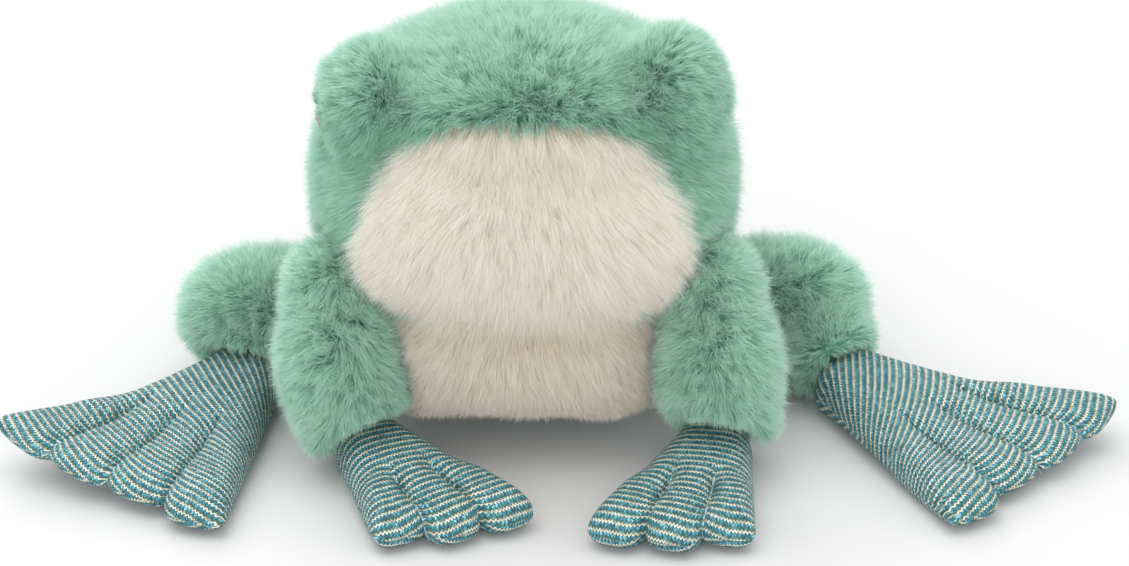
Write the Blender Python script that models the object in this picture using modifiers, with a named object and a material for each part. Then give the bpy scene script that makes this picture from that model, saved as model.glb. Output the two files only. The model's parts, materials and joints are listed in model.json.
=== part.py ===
"""A sitting plush frog: stuffed long-pile body, jointed limbs, and padded knit hands and webbed feet."""

import math

import bmesh
import bpy
from mathutils import Matrix, Vector

# Everything is in metres. The frog looks along -Y, +X is to the right of someone facing it, and the floor is z = 0.
# A left limb is the one on the -X side.

# Gaps between pieces
FIT_GAP = 0.0003
SWEEP_GAP = 0.0017
OVERRUN = 0.02

# Head: one stuffed form, widest at the cheeks, with the upper lip standing over the throat
HEAD_WIDTH = 0.148
HEAD_BASE_Z = 0.053
HEAD_HEIGHT = 0.1015
HEAD_FRONT = 0.065
HEAD_BACK = 0.074
HEAD_CROWN_Y = -0.008
# Height, half width, reach to the front and reach to the back
HEAD_STATION_SHARES = [
    (0.035, 0.66, 0.66, 0.60),
    (0.106, 0.92, 0.88, 0.84),
    (0.257, 1.00, 0.98, 0.96),
    (0.434, 1.00, 1.00, 1.00),
    (0.593, 0.97, 0.93, 0.97),
    (0.726, 0.88, 0.82, 0.86),
    (0.805, 0.78, 0.96, 0.72),
    (0.903, 0.60, 0.88, 0.50),
    (0.965, 0.38, 0.60, 0.28),
]

# Body: belly in front, held off the floor, and a heavy rump behind that rests on it
BODY_WIDTH = 0.140
BODY_HEIGHT = 0.118
BODY_FRONT = 0.060
BODY_BACK = 0.125
BELLY_POLE_SHARE = 0.36
RUMP_POLE_SHARE = 0.34
# Place from front to back, half width, underside and top
BODY_STATION_SHARES = [
    (0.022, 0.43, 0.22, 0.51),
    (0.085, 0.60, 0.14, 0.59),
    (0.210, 0.71, 0.08, 0.70),
    (0.372, 0.87, 0.02, 0.88),
    (0.563, 1.00, -0.01, 1.00),
    (0.754, 0.93, -0.01, 0.87),
    (0.891, 0.71, 0.05, 0.67),
    (0.962, 0.42, 0.16, 0.50),
]

# Cream panel, cut as two pieces that meet in the fold under the throat
THROAT_SEAT_Y = -0.034
THROAT_HALF_WIDTH = 0.058
MOUTH_Z = 0.138
FOLD_Z = 0.063
# Height between the fold and the mouth, and half width
THROAT_OUTLINE_SHARES = [
    (0.00, 0.84),
    (0.14, 0.95),
    (0.34, 1.00),
    (0.60, 0.92),
    (0.82, 0.77),
    (0.92, 0.60),
    (0.98, 0.36),
    (1.00, 0.12),
]
BELLY_SEAT_Y = -0.028
BELLY_HALF_WIDTH = 0.048
BELLY_BASE_Z = 0.012
# Height between the belly's lower seam and the fold, and half width
BELLY_OUTLINE_SHARES = [
    (0.00, 0.66),
    (0.10, 0.90),
    (0.40, 0.99),
    (0.70, 1.00),
    (1.00, 0.98),
]

# Eye mounds on the upper corners of the head
MOUND_X = 0.0495
MOUND_Y = -0.022
MOUND_Z = 0.132
MOUND_WIDTH = 0.0455
MOUND_DEPTH = 0.052
MOUND_HEIGHT = 0.050

# Safety eyes: a domed button with a ribbed shank, held inside by a toothed washer
EYE_RADIUS = 0.0065
EYE_DOME_HEIGHT = 0.0048
EYE_RIM = 0.0012
EYE_SIDE_REACH = 0.0190
EYE_BACK_SHARE = 0.10
EYE_DROP_SHARE = 0.48
SHANK_RADIUS = 0.0021
SHANK_LENGTH = 0.0110
SHANK_RIBS = 5
RIB_HEIGHT = 0.0003
WASHER_RADIUS = 0.0055
WASHER_THICKNESS = 0.0014
WASHER_DEPTH = 0.0040
WASHER_TEETH = 8
TOOTH_DEPTH = 0.0010
SHARP_EDGE_DEG = 35

# Arms: thick fur sleeves that hang from the chest corners and swell at the elbow
SHOULDER_X = 0.065
SHOULDER_Y = -0.033
SHOULDER_Z = 0.066
SHOULDER_BALL_RADIUS = 0.019
LEFT_ELBOW_X = 0.0655
RIGHT_ELBOW_X = 0.070
ELBOW_Y = -0.044
ELBOW_Z = 0.037
ELBOW_RADIUS = 0.0225
SLEEVE_TOP_SHARE = 0.84
FOREARM_SHARE = 0.55
CUFF_RADIUS = 0.0175
CUFF_END_Z = 0.004
SHOULDER_RANGE_DEG = (-10, 30)

# Hands: flat padded knit, three fingers with a sewn channel between each two
LEFT_WRIST_X = 0.0525
RIGHT_WRIST_X = 0.067
WRIST_Y = -0.051
WRIST_Z = 0.0125
WRIST_BALL_RADIUS = 0.0115
HAND_LENGTH = 0.066
HAND_ROOT_WIDTH = 0.028
HAND_SPREAD_DEG = 30
HAND_THICKNESS = 0.0200
HAND_TIP_THICKNESS = 0.0145
HAND_CHANNEL_SHARE = 0.55
HAND_TIP_LIFT = 0
# Length at the edges, the finger middles and the channels between them, from the outer edge to the inner one
HAND_LENGTH_SHARES = [0.74, 0.83, 0.80, 0.95, 0.84, 1.00, 0.88]
LEFT_HAND_YAW_DEG = 31
RIGHT_HAND_YAW_DEG = 16
WRIST_RANGE_DEG = (-20, 30)

# Legs: round folded thighs beside the rump, turned about the line through both hips
HIP_INNER_X = 0.050
HIP_OUTER_X = 0.127
LEFT_HIP_Y = 0.019
RIGHT_HIP_Y = 0.027
HIP_Z = 0.0285
THIGH_RADIUS = 0.0255
# Place from the inner end to the outer end, and radius
THIGH_PROFILE_SHARES = [
    (0.02, 0.45),
    (0.15, 0.78),
    (0.40, 0.97),
    (0.66, 1.00),
    (0.87, 0.82),
    (0.97, 0.46),
]
SHIN_RADIUS = 0.0180
CALF_SHARE = 0.60
SHIN_END_SHARE = 0.92
SHIN_PAST_SHARE = 0.55

# Feet: large webbed knit fans, four toes with a sewn channel between each two
LEFT_ANKLE_X = 0.103
RIGHT_ANKLE_X = 0.119
LEFT_ANKLE_Y = 0
RIGHT_ANKLE_Y = -0.002
ANKLE_Z = 0.0135
ANKLE_BALL_RADIUS = 0.0115
FOOT_LENGTH = 0.092
FOOT_ROOT_WIDTH = 0.031
LEFT_FOOT_SPREAD_DEG = 44
RIGHT_FOOT_SPREAD_DEG = 46
FOOT_THICKNESS = 0.0220
FOOT_TIP_THICKNESS = 0.0125
FOOT_CHANNEL_SHARE = 0.60
FOOT_TIP_LIFT = 0.012
FOOT_LENGTH_SHARES = [0.95, 0.98, 0.92, 0.95, 0.89, 0.935, 0.875, 1.00, 0.96]
LEFT_FOOT_YAW_DEG = 30
RIGHT_FOOT_YAW_DEG = 48
ANKLE_RANGE_DEG = (-20, 25)

# Form of hands and feet: exponents of their curves, and shares of the length by which a change is complete
REACH_EXPONENT = 1.15
TIP_EXPONENT = 5
EDGE_EXPONENT = 2.6
TIP_SHARE = 0.10
THINNING_SHARE = 0.625
CHANNEL_START_SHARE = 0.34
CHANNEL_FULL_SHARE = 0.60
# Height of the side seam in the thickness
SEAM_SHARE = 0.38

# Counts
FORM_SIDES = 16
LIMB_SIDES = 12
BALL_SEGMENTS = 16
TURN_STEPS = 16
DOME_STEPS = 6
FORM_LEVELS = 1
SWEEP_STEPS = 4
DIGIT_STATIONS = 6
HEAD_SQUARENESS = 2.35
BODY_SQUARENESS = 3

# The exact solver empties the body where the arm's room grazes the belly's seam, and the leg at its ankle's socket,
# so these cuts use the other one.
SEAT_SOLVER = "MANIFOLD"

SIDES = {"left": -1, "right": 1}
ELBOW_X = {-1: LEFT_ELBOW_X, 1: RIGHT_ELBOW_X}
WRIST_X = {-1: LEFT_WRIST_X, 1: RIGHT_WRIST_X}
HAND_YAW_DEG = {-1: LEFT_HAND_YAW_DEG, 1: RIGHT_HAND_YAW_DEG}
HIP_Y = {-1: LEFT_HIP_Y, 1: RIGHT_HIP_Y}
ANKLE_X = {-1: LEFT_ANKLE_X, 1: RIGHT_ANKLE_X}
ANKLE_Y = {-1: LEFT_ANKLE_Y, 1: RIGHT_ANKLE_Y}
FOOT_YAW_DEG = {-1: LEFT_FOOT_YAW_DEG, 1: RIGHT_FOOT_YAW_DEG}
FOOT_SPREAD_DEG = {-1: LEFT_FOOT_SPREAD_DEG, 1: RIGHT_FOOT_SPREAD_DEG}
MATERIALS = {
    "green_pile": ((0.204, 0.474, 0.328), 0.95, 0),
    "cream_pile": ((0.780, 0.707, 0.610), 0.95, 0),
    "striped_knit": ((0.070, 0.210, 0.240), 0.75, 0),
    "eye_plastic": ((0.090, 0.035, 0.012), 0.08, 0),
    "washer_plastic": ((0.750, 0.750, 0.720), 0.45, 0),
}


def clear_scene():
    for obj in list(bpy.data.objects):
        bpy.data.objects.remove(obj, do_unlink=True)


def new_collection(name):
    collection = bpy.data.collections.new(name)
    bpy.context.scene.collection.children.link(collection)
    return collection


def make_material(name):
    colour, roughness, metallic = MATERIALS[name]
    material = bpy.data.materials.new(name)
    material.use_nodes = True
    shader = material.node_tree.nodes["Principled BSDF"]
    shader.inputs["Base Color"].default_value = (*colour, 1)
    shader.inputs["Roughness"].default_value = roughness
    shader.inputs["Metallic"].default_value = metallic
    return material


class Workshop:
    """Holds the two collections and the materials, and makes objects in them."""

    def __init__(self):
        self.parts = new_collection("plush_frog")
        self.cutters = new_collection("cutters")
        self.materials = {name: make_material(name) for name in MATERIALS}

    def part(self, name, mesh, material):
        obj = bpy.data.objects.new(name, mesh)
        self.parts.objects.link(obj)
        mesh.materials.append(self.materials[material])
        mesh.shade_smooth()
        return obj

    def cutter(self, name, mesh):
        obj = bpy.data.objects.new(name, mesh)
        self.cutters.objects.link(obj)
        obj.hide_render = True
        obj.display_type = "WIRE"
        return obj

    def guide(self, name, place, parent):
        guide = bpy.data.objects.new(name, None)
        guide.location = place
        self.parts.objects.link(guide)
        attach(guide, parent)
        return guide


def attach(obj, parent):
    """Parents obj and keeps it where it is."""
    if parent is None:
        return
    bpy.context.view_layer.update()
    obj.parent = parent
    obj.matrix_parent_inverse = parent.matrix_world.inverted()


def mesh_from(bm, name):
    bmesh.ops.recalc_face_normals(bm, faces=bm.faces)
    mesh = bpy.data.meshes.new(name)
    bm.to_mesh(mesh)
    bm.free()
    return mesh


def smooth_gain(sides):
    """How much wider a ring of a cage is than the smooth form that subdivision makes of it."""
    return 3 / (2 + math.cos(2 * math.pi / sides))


def power(value, exponent):
    return math.copysign(abs(value) ** exponent, value)


def oval_ring(centre, across, up, sides, squareness=2.0):
    """Points round centre, on an oval that squareness above 2 makes boxier."""
    gain = smooth_gain(sides)
    points = []
    for step in range(sides):
        turn = 2 * math.pi * (step + 0.5) / sides
        u = power(math.cos(turn), 2 / squareness) * gain
        v = power(math.sin(turn), 2 / squareness) * gain
        points.append(centre + across * u + up * v)
    return points


def loft_mesh(name, start, rings, end):
    """A closed cage through equal rings, drawn to a point at each end."""
    bm = bmesh.new()
    rows = [[bm.verts.new(point) for point in ring] for ring in rings]
    first, last = bm.verts.new(start), bm.verts.new(end)
    sides = len(rings[0])
    for near, far in zip(rows, rows[1:]):
        for i in range(sides):
            j = (i + 1) % sides
            bm.faces.new((near[i], near[j], far[j], far[i]))
    for i in range(sides):
        j = (i + 1) % sides
        bm.faces.new((first, rows[0][j], rows[0][i]))
        bm.faces.new((last, rows[-1][i], rows[-1][j]))
    return mesh_from(bm, name)


def soften(obj, levels=FORM_LEVELS):
    modifier = obj.modifiers.new("stuffing", "SUBSURF")
    modifier.levels = levels
    modifier.render_levels = levels
    return obj


def combine(obj, other, operation, solver="EXACT"):
    modifier = obj.modifiers.new(f"{operation.lower()} {other.name}", "BOOLEAN")
    modifier.operation = operation
    modifier.object = other
    modifier.solver = solver


def cut(obj, *cutters, solver="EXACT"):
    for cutter in cutters:
        combine(obj, cutter, "DIFFERENCE", solver)


def head_mesh(name, grow=0):
    rings = []
    for height, width, front, back in HEAD_STATION_SHARES:
        near = -HEAD_FRONT * front - grow
        far = HEAD_BACK * back + grow
        centre = Vector((0, (near + far) / 2, HEAD_BASE_Z + HEAD_HEIGHT * height))
        across = Vector((HEAD_WIDTH / 2 * width + grow, 0, 0))
        along = Vector((0, (far - near) / 2, 0))
        rings.append(oval_ring(centre, across, along, FORM_SIDES, HEAD_SQUARENESS))
    bottom = Vector((0, 0, HEAD_BASE_Z - grow))
    crown = Vector((0, HEAD_CROWN_Y, HEAD_BASE_Z + HEAD_HEIGHT + grow))
    return loft_mesh(name, bottom, rings, crown)


def body_mesh(name, grow=0):
    rings = []
    length = BODY_FRONT + BODY_BACK
    for place, width, low, high in BODY_STATION_SHARES:
        bottom, top = BODY_HEIGHT * low - grow, BODY_HEIGHT * high + grow
        centre = Vector((0, length * place - BODY_FRONT, (bottom + top) / 2))
        across = Vector((BODY_WIDTH / 2 * width + grow, 0, 0))
        up = Vector((0, 0, (top - bottom) / 2))
        rings.append(oval_ring(centre, across, up, FORM_SIDES, BODY_SQUARENESS))
    belly = Vector((0, -BODY_FRONT - grow, BODY_HEIGHT * BELLY_POLE_SHARE))
    rump = Vector((0, BODY_BACK + grow, BODY_HEIGHT * RUMP_POLE_SHARE))
    return loft_mesh(name, belly, rings, rump)


def panel_outline(shares, half_width, low, high):
    """The right half of the outline, bottom to top, then the left half back down."""
    right = [(half_width * width, low + (high - low) * height) for height, width in shares]
    return right + [(-x, z) for x, z in reversed(right)]


def plate_mesh(name, outline, near, far):
    """An outline in x and z, extruded along y from near to far."""
    bm = bmesh.new()
    front = [bm.verts.new((x, near, z)) for x, z in outline]
    bm.faces.new(front)
    back = bmesh.ops.extrude_face_region(bm, geom=bm.faces[:])["geom"]
    moved = [item for item in back if isinstance(item, bmesh.types.BMVert)]
    bmesh.ops.translate(bm, verts=moved, vec=(0, far - near, 0))
    return mesh_from(bm, name)


def ball_mesh(name, centre, radius, axis):
    """A sphere whose poles lie on the hinge's axis, so that its rings of faces turn in themselves."""
    bm = bmesh.new()
    bmesh.ops.create_uvsphere(
        bm, u_segments=BALL_SEGMENTS, v_segments=BALL_SEGMENTS // 2, radius=radius
    )
    poles = axis.to_track_quat("Z", "Y").to_matrix()
    bmesh.ops.rotate(bm, verts=bm.verts, matrix=poles)
    bmesh.ops.translate(bm, verts=bm.verts, vec=centre)
    return mesh_from(bm, name)


def socket_radius(radius):
    """The radius at which a faceted socket clears the turning ball everywhere by the fit gap."""
    return (radius + FIT_GAP) / math.cos(math.pi / BALL_SEGMENTS)


def sweep_mesh(name, points, pivot, axis, range_deg):
    """The hull of what points pass through as they turn about the axis, with room to spare."""
    bm = bmesh.new()
    low, high = range_deg
    middle = sum(points, Vector()) / len(points)
    spread = [point + (point - middle).normalized() * SWEEP_GAP for point in points]
    for step in range(SWEEP_STEPS + 1):
        degrees = low + (high - low) * step / SWEEP_STEPS
        turn = Matrix.Rotation(math.radians(degrees), 3, axis)
        for point in spread:
            bm.verts.new(pivot + turn @ (point - pivot))
    made = bmesh.ops.convex_hull(bm, input=bm.verts)
    spare = {item for item in made["geom_interior"] + made["geom_unused"]}
    loose = [item for item in spare if isinstance(item, bmesh.types.BMVert)]
    bmesh.ops.delete(bm, geom=loose, context="VERTS")
    return mesh_from(bm, name)


def shoulder_place(side):
    return Vector((side * SHOULDER_X, SHOULDER_Y, SHOULDER_Z))


def wrist_place(side):
    return Vector((side * WRIST_X[side], WRIST_Y, WRIST_Z))


def hip_place(side):
    return Vector((side * (HIP_INNER_X + HIP_OUTER_X) / 2, HIP_Y[side], HIP_Z))


def ankle_place(side):
    return Vector((side * ANKLE_X[side], ANKLE_Y[side], ANKLE_Z))


def toe_direction(side, yaw_deg):
    """Level, straight ahead at 0 degrees, and turned away from the middle above it."""
    yaw = math.radians(yaw_deg)
    return Vector((side * math.sin(yaw), -math.cos(yaw), 0))


def lift_axis(direction):
    """The level hinge axis about which a positive turn lifts what points along direction."""
    return direction.cross(Vector((0, 0, 1)))


def tube_rings(stations):
    """Rings square to the path through the stations, each a centre and a radius."""
    rings = []
    for i, (centre, radius) in enumerate(stations):
        before, after = stations[max(i - 1, 0)][0], stations[min(i + 1, len(stations) - 1)][0]
        along = (after - before).normalized()
        across = along.cross(Vector((0, 1, 0))).normalized()
        up = across.cross(along)
        rings.append(oval_ring(centre, across * radius, up * radius, LIMB_SIDES))
    return rings


def sleeve_rings(side):
    """From inside the shoulder ball over the elbow's swell to the cuff round the wrist."""
    shoulder, wrist = shoulder_place(side), wrist_place(side)
    elbow = Vector((side * ELBOW_X[side], ELBOW_Y, ELBOW_Z))
    cuff = Vector((wrist.x, wrist.y, (wrist.z + CUFF_END_Z) / 2))
    upper = shoulder.lerp(elbow, 0.5)
    lower = elbow.lerp(wrist, FOREARM_SHARE)
    return tube_rings(
        [
            (shoulder, SHOULDER_BALL_RADIUS * SLEEVE_TOP_SHARE),
            (upper, (SHOULDER_BALL_RADIUS + ELBOW_RADIUS) / 2),
            (elbow, ELBOW_RADIUS),
            (lower, (ELBOW_RADIUS + CUFF_RADIUS) / 2),
            (cuff, CUFF_RADIUS),
        ]
    )


def arm_mesh(name, side):
    rings = sleeve_rings(side)
    top = shoulder_place(side) + Vector((0, 0, SHOULDER_BALL_RADIUS / 2))
    wrist = wrist_place(side)
    return loft_mesh(name, top, rings, Vector((wrist.x, wrist.y, CUFF_END_Z)))


def thigh_mesh(name, side, grow=0):
    """A turned form about the line through both hips, so that turning it never moves its outline."""
    length = HIP_OUTER_X - HIP_INNER_X
    rings = []
    for place, radius in THIGH_PROFILE_SHARES:
        centre = Vector((side * (HIP_INNER_X + length * place), HIP_Y[side], HIP_Z))
        wide = THIGH_RADIUS * radius + grow
        rings.append(
            oval_ring(centre, Vector((0, wide, 0)), Vector((0, 0, wide)), LIMB_SIDES)
        )
    inner = Vector((side * (HIP_INNER_X - grow), HIP_Y[side], HIP_Z))
    outer = Vector((side * (HIP_OUTER_X + grow), HIP_Y[side], HIP_Z))
    return loft_mesh(name, inner, rings, outer)


def shin_mesh(name, side):
    hip, ankle = hip_place(side), ankle_place(side)
    knee = Vector((side * (HIP_OUTER_X - THIGH_RADIUS), HIP_Y[side], HIP_Z))
    stations = [
        (knee, SHIN_RADIUS),
        (knee.lerp(ankle, CALF_SHARE), SHIN_RADIUS),
        (ankle, SHIN_RADIUS * SHIN_END_SHARE),
    ]
    rings = tube_rings(stations)
    past = ankle + (ankle - knee).normalized() * SHIN_RADIUS * SHIN_PAST_SHARE
    return loft_mesh(name, hip.lerp(knee, 0.5), rings, past)


def digit_rings(pivot, side, yaw_deg, spread_deg, length, shares, root_width, thickness,
                tip_thickness, channel, lift):
    """Rings across a flat padded hand or foot, root first.

    Each ring runs over the top from the outer edge to the inner one, and back underneath.
    Even points lie on the edges and in the sewn channels, odd ones on the fingers' middles.
    """
    last = len(shares) - 1
    level = Vector((pivot.x, pivot.y, 0))
    across = toe_direction(side, yaw_deg + 90)
    rings = []
    for station in range(DIGIT_STATIONS):
        along = station / (DIGIT_STATIONS - 1)
        reach = 1 - (1 - along) ** REACH_EXPONENT
        swell = math.sqrt(max(1 - along**TIP_EXPONENT, TIP_SHARE))
        sewn = min(max(along - CHANNEL_START_SHARE, 0) / (CHANNEL_FULL_SHARE - CHANNEL_START_SHARE), 1)
        high = thickness + (tip_thickness - thickness) * min(along / THINNING_SHARE, 1)
        top, bottom = [], []
        for i, share in enumerate(shares):
            turn = 1 - 2 * i / last
            heading = toe_direction(side, yaw_deg + turn * spread_deg / 2)
            root = level + across * root_width / 2 * turn
            place = root + heading * length * share * reach
            pad = math.sqrt(max(1 - abs(turn) ** EDGE_EXPONENT, 0))
            toe = 0 if i in (0, last) else 1 - channel * (i % 2 == 0)
            thick = high * swell * (pad + (toe - pad) * sewn)
            seam = high * SEAM_SHARE + lift * along**2 * (0.5 + turn / 2) ** 2
            top.append(Vector((place.x, place.y, seam + thick * (1 - SEAM_SHARE))))
            bottom.append(Vector((place.x, place.y, seam - thick * SEAM_SHARE)))
        rings.append(top + bottom[-2:0:-1])
    return rings


def digit_mesh(name, rings):
    """A closed cage through the rings, whose ends are closed by strips from top to underside."""
    bm = bmesh.new()
    rows = [[bm.verts.new(point) for point in ring] for ring in rings]
    count = len(rows[0])
    for near, far in zip(rows, rows[1:]):
        for i in range(count):
            j = (i + 1) % count
            bm.faces.new((near[i], near[j], far[j], far[i]))
    half = count // 2
    for row in (rows[0], rows[-1]):
        bm.faces.new((row[0], row[1], row[-1]))
        bm.faces.new((row[half], row[half + 1], row[half - 1]))
        for i in range(1, half - 1):
            bm.faces.new((row[i], row[i + 1], row[-i - 1], row[-i]))
    return mesh_from(bm, name)


def hand_rings(side):
    return digit_rings(
        wrist_place(side), side, -HAND_YAW_DEG[side], HAND_SPREAD_DEG, HAND_LENGTH,
        HAND_LENGTH_SHARES, HAND_ROOT_WIDTH, HAND_THICKNESS, HAND_TIP_THICKNESS,
        HAND_CHANNEL_SHARE, HAND_TIP_LIFT,
    )


def foot_rings(side):
    return digit_rings(
        ankle_place(side), side, FOOT_YAW_DEG[side], FOOT_SPREAD_DEG[side], FOOT_LENGTH,
        FOOT_LENGTH_SHARES, FOOT_ROOT_WIDTH, FOOT_THICKNESS, FOOT_TIP_THICKNESS,
        FOOT_CHANNEL_SHARE, FOOT_TIP_LIFT,
    )


def turned_mesh(name, profile):
    """A solid turned about the z axis from (radius, height) points, which start and end on the axis."""
    bm = bmesh.new()
    verts = [bm.verts.new((radius, 0, height)) for radius, height in profile]
    edges = [bm.edges.new(pair) for pair in zip(verts, verts[1:])]
    bmesh.ops.spin(
        bm, geom=verts + edges, cent=(0, 0, 0), axis=(0, 0, 1),
        angle=2 * math.pi, steps=TURN_STEPS, use_merge=True,
    )
    bmesh.ops.remove_doubles(bm, verts=bm.verts, dist=FIT_GAP / 10)
    return mesh_from(bm, name)


def eye_profile():
    """Down the shank's ribs from its tip, out under the button and over its dome."""
    pitch = (SHANK_LENGTH - WASHER_DEPTH) / (SHANK_RIBS + 1)
    profile = [(0, -SHANK_LENGTH), (SHANK_RADIUS - RIB_HEIGHT, -SHANK_LENGTH)]
    for rib in range(SHANK_RIBS):
        crest = -SHANK_LENGTH + pitch * (rib + 1)
        profile.append((SHANK_RADIUS, crest))
        profile.append((SHANK_RADIUS - RIB_HEIGHT, crest + pitch / 4))
    profile.append((SHANK_RADIUS, -WASHER_DEPTH + RIB_HEIGHT))
    profile.append((SHANK_RADIUS, 0))
    profile.append((EYE_RADIUS - EYE_RIM / 2, 0))
    profile.append((EYE_RADIUS, EYE_RIM / 2))
    for step in range(DOME_STEPS + 1):
        turn = math.pi / 2 * step / DOME_STEPS
        height = EYE_RIM + (EYE_DOME_HEIGHT - EYE_RIM) * math.sin(turn)
        profile.append((EYE_RADIUS * math.cos(turn) if step < DOME_STEPS else 0, height))
    return profile


def washer_mesh(name):
    """A flat ring whose bore is cut into springy teeth round the shank."""
    bm = bmesh.new()
    bore = SHANK_RADIUS + FIT_GAP
    inner, outer = [], []
    count = WASHER_TEETH * 4
    for step in range(count):
        turn = 2 * math.pi * step / count
        deep = bore + (TOOTH_DEPTH if step % 4 in (2, 3) else 0)
        inner.append(bm.verts.new((deep * math.cos(turn), deep * math.sin(turn), 0)))
        outer.append(bm.verts.new((WASHER_RADIUS * math.cos(turn), WASHER_RADIUS * math.sin(turn), 0)))
    for i in range(count):
        j = (i + 1) % count
        bm.faces.new((inner[i], inner[j], outer[j], outer[i]))
    raised = bmesh.ops.extrude_face_region(bm, geom=bm.faces[:])["geom"]
    moved = [item for item in raised if isinstance(item, bmesh.types.BMVert)]
    bmesh.ops.translate(bm, verts=moved, vec=(0, 0, WASHER_THICKNESS))
    return mesh_from(bm, name)


def eye_frame(side):
    """The eye's place on the outer face of its mound, with local z pointing out of it."""
    outward = Vector((side, EYE_BACK_SHARE, -EYE_DROP_SHARE)).normalized()
    centre = Vector((side * MOUND_X, MOUND_Y, MOUND_Z)) + outward * EYE_SIDE_REACH
    return Matrix.Translation(centre) @ outward.to_track_quat("Z", "Y").to_matrix().to_4x4()


def eye_room_mesh(name):
    """The room that the eye's button, its shank and the washer take in the fur."""
    hole, disc = SHANK_RADIUS + FIT_GAP, WASHER_RADIUS + FIT_GAP
    low, high = -WASHER_DEPTH - WASHER_THICKNESS - FIT_GAP, -WASHER_DEPTH + FIT_GAP
    return turned_mesh(
        name,
        [
            (0, -SHANK_LENGTH - FIT_GAP),
            (hole, -SHANK_LENGTH - FIT_GAP),
            (hole, low),
            (disc, low),
            (disc, high),
            (hole, high),
            (hole, -FIT_GAP),
            (EYE_RADIUS + FIT_GAP, -FIT_GAP),
            (EYE_RADIUS + FIT_GAP, EYE_DOME_HEIGHT + OVERRUN),
            (0, EYE_DOME_HEIGHT + OVERRUN),
        ],
    )


def mound_mesh(name, side):
    bm = bmesh.new()
    bmesh.ops.create_uvsphere(bm, u_segments=FORM_SIDES, v_segments=FORM_SIDES // 2 + 2, radius=1)
    size = Matrix.Diagonal((MOUND_WIDTH / 2, MOUND_DEPTH / 2, MOUND_HEIGHT / 2, 1))
    place = Matrix.Translation((side * MOUND_X, MOUND_Y, MOUND_Z))
    bmesh.ops.transform(bm, verts=bm.verts, matrix=place @ size)
    return mesh_from(bm, name)


def slab_mesh(name):
    """What lies under the floor, to cut flat whatever rests on it."""
    reach = BODY_WIDTH + HEAD_WIDTH + FOOT_LENGTH
    bm = bmesh.new()
    bmesh.ops.create_cube(bm, size=1)
    size = Matrix.Diagonal((reach * 2, reach * 2, OVERRUN, 1))
    place = Matrix.Translation((0, 0, -OVERRUN / 2))
    bmesh.ops.transform(bm, verts=bm.verts, matrix=place @ size)
    return mesh_from(bm, name)


def seat_on_axis(obj, guide):
    """Moves the object's origin onto its joint's guide without moving its surface."""
    place = guide.matrix_world.translation.copy()
    obj.data.transform(Matrix.Translation(-place))
    obj.location = place
    attach(obj, guide)


def make_torso(shop, root, room_cutters, floor):
    """Head and body with their cream panels, each cut where a limb or a larger form sits."""
    body_room = soften(shop.cutter("body_room", body_mesh("body_room", FIT_GAP)))
    panels = {
        "throat_panel": (
            head_mesh("throat_panel"),
            panel_outline(THROAT_OUTLINE_SHARES, THROAT_HALF_WIDTH, FOLD_Z, MOUTH_Z),
            THROAT_SEAT_Y,
        ),
        "belly_panel": (
            body_mesh("belly_panel"),
            panel_outline(BELLY_OUTLINE_SHARES, BELLY_HALF_WIDTH, BELLY_BASE_Z, FOLD_Z),
            BELLY_SEAT_Y,
        ),
    }
    near = -HEAD_FRONT - OVERRUN
    torso = {}
    for name, (mesh, outline, seat) in panels.items():
        keep = shop.cutter(f"{name}_outline", plate_mesh(f"{name}_outline", outline, near, seat))
        wide = grown_outline(outline, FIT_GAP)
        room = plate_mesh(f"{name}_room", wide, near - OVERRUN, seat + FIT_GAP)
        panel = soften(shop.part(name, mesh, "cream_pile"))
        combine(panel, keep, "INTERSECT", SEAT_SOLVER)
        torso[name] = panel
        torso[f"{name}_room"] = shop.cutter(f"{name}_room", room)
    body = soften(shop.part("body", body_mesh("body"), "green_pile"))
    cut(body, torso["belly_panel_room"], floor, solver=SEAT_SOLVER)
    head = soften(shop.part("head", head_mesh("head"), "green_pile"))
    cut(head, torso["throat_panel_room"], body_room, solver=SEAT_SOLVER)
    cut(torso["throat_panel"], body_room, solver=SEAT_SOLVER)
    for piece in (body, head, torso["throat_panel"], torso["belly_panel"]):
        cut(piece, *room_cutters, solver=SEAT_SOLVER)
        attach(piece, root)
    return head


def grown_outline(outline, grow):
    """The outline moved outwards by grow, along each corner's own outward direction."""
    count = len(outline)
    moved = []
    for i, (x, z) in enumerate(outline):
        before, after = Vector(outline[i - 1]), Vector(outline[(i + 1) % count])
        along = (after - before).normalized()
        moved.append((x + along.y * grow, z - along.x * grow))
    return moved


def make_eye(shop, root, head, name, side):
    frame = eye_frame(side)
    room_mesh = eye_room_mesh(f"eye_room_{name}")
    room_mesh.transform(frame)
    room = shop.cutter(f"eye_room_{name}", room_mesh)
    mound = shop.part(f"eye_mound_{name}", mound_mesh(f"eye_mound_{name}", side), "green_pile")
    head_room = bpy.data.objects["head_room"]
    cut(mound, head_room, room, solver=SEAT_SOLVER)
    cut(head, room, solver=SEAT_SOLVER)
    eye = turned_mesh(f"eye_{name}", eye_profile())
    washer = washer_mesh(f"eye_washer_{name}")
    washer.transform(Matrix.Translation((0, 0, -WASHER_DEPTH - WASHER_THICKNESS)))
    pieces = [mound]
    for mesh, material in ((eye, "eye_plastic"), (washer, "washer_plastic")):
        mesh.transform(frame)
        piece = shop.part(mesh.name, mesh, material)
        mesh.set_sharp_from_angle(angle=math.radians(SHARP_EDGE_DEG))
        pieces.append(piece)
    for piece in pieces:
        attach(piece, root)


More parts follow.
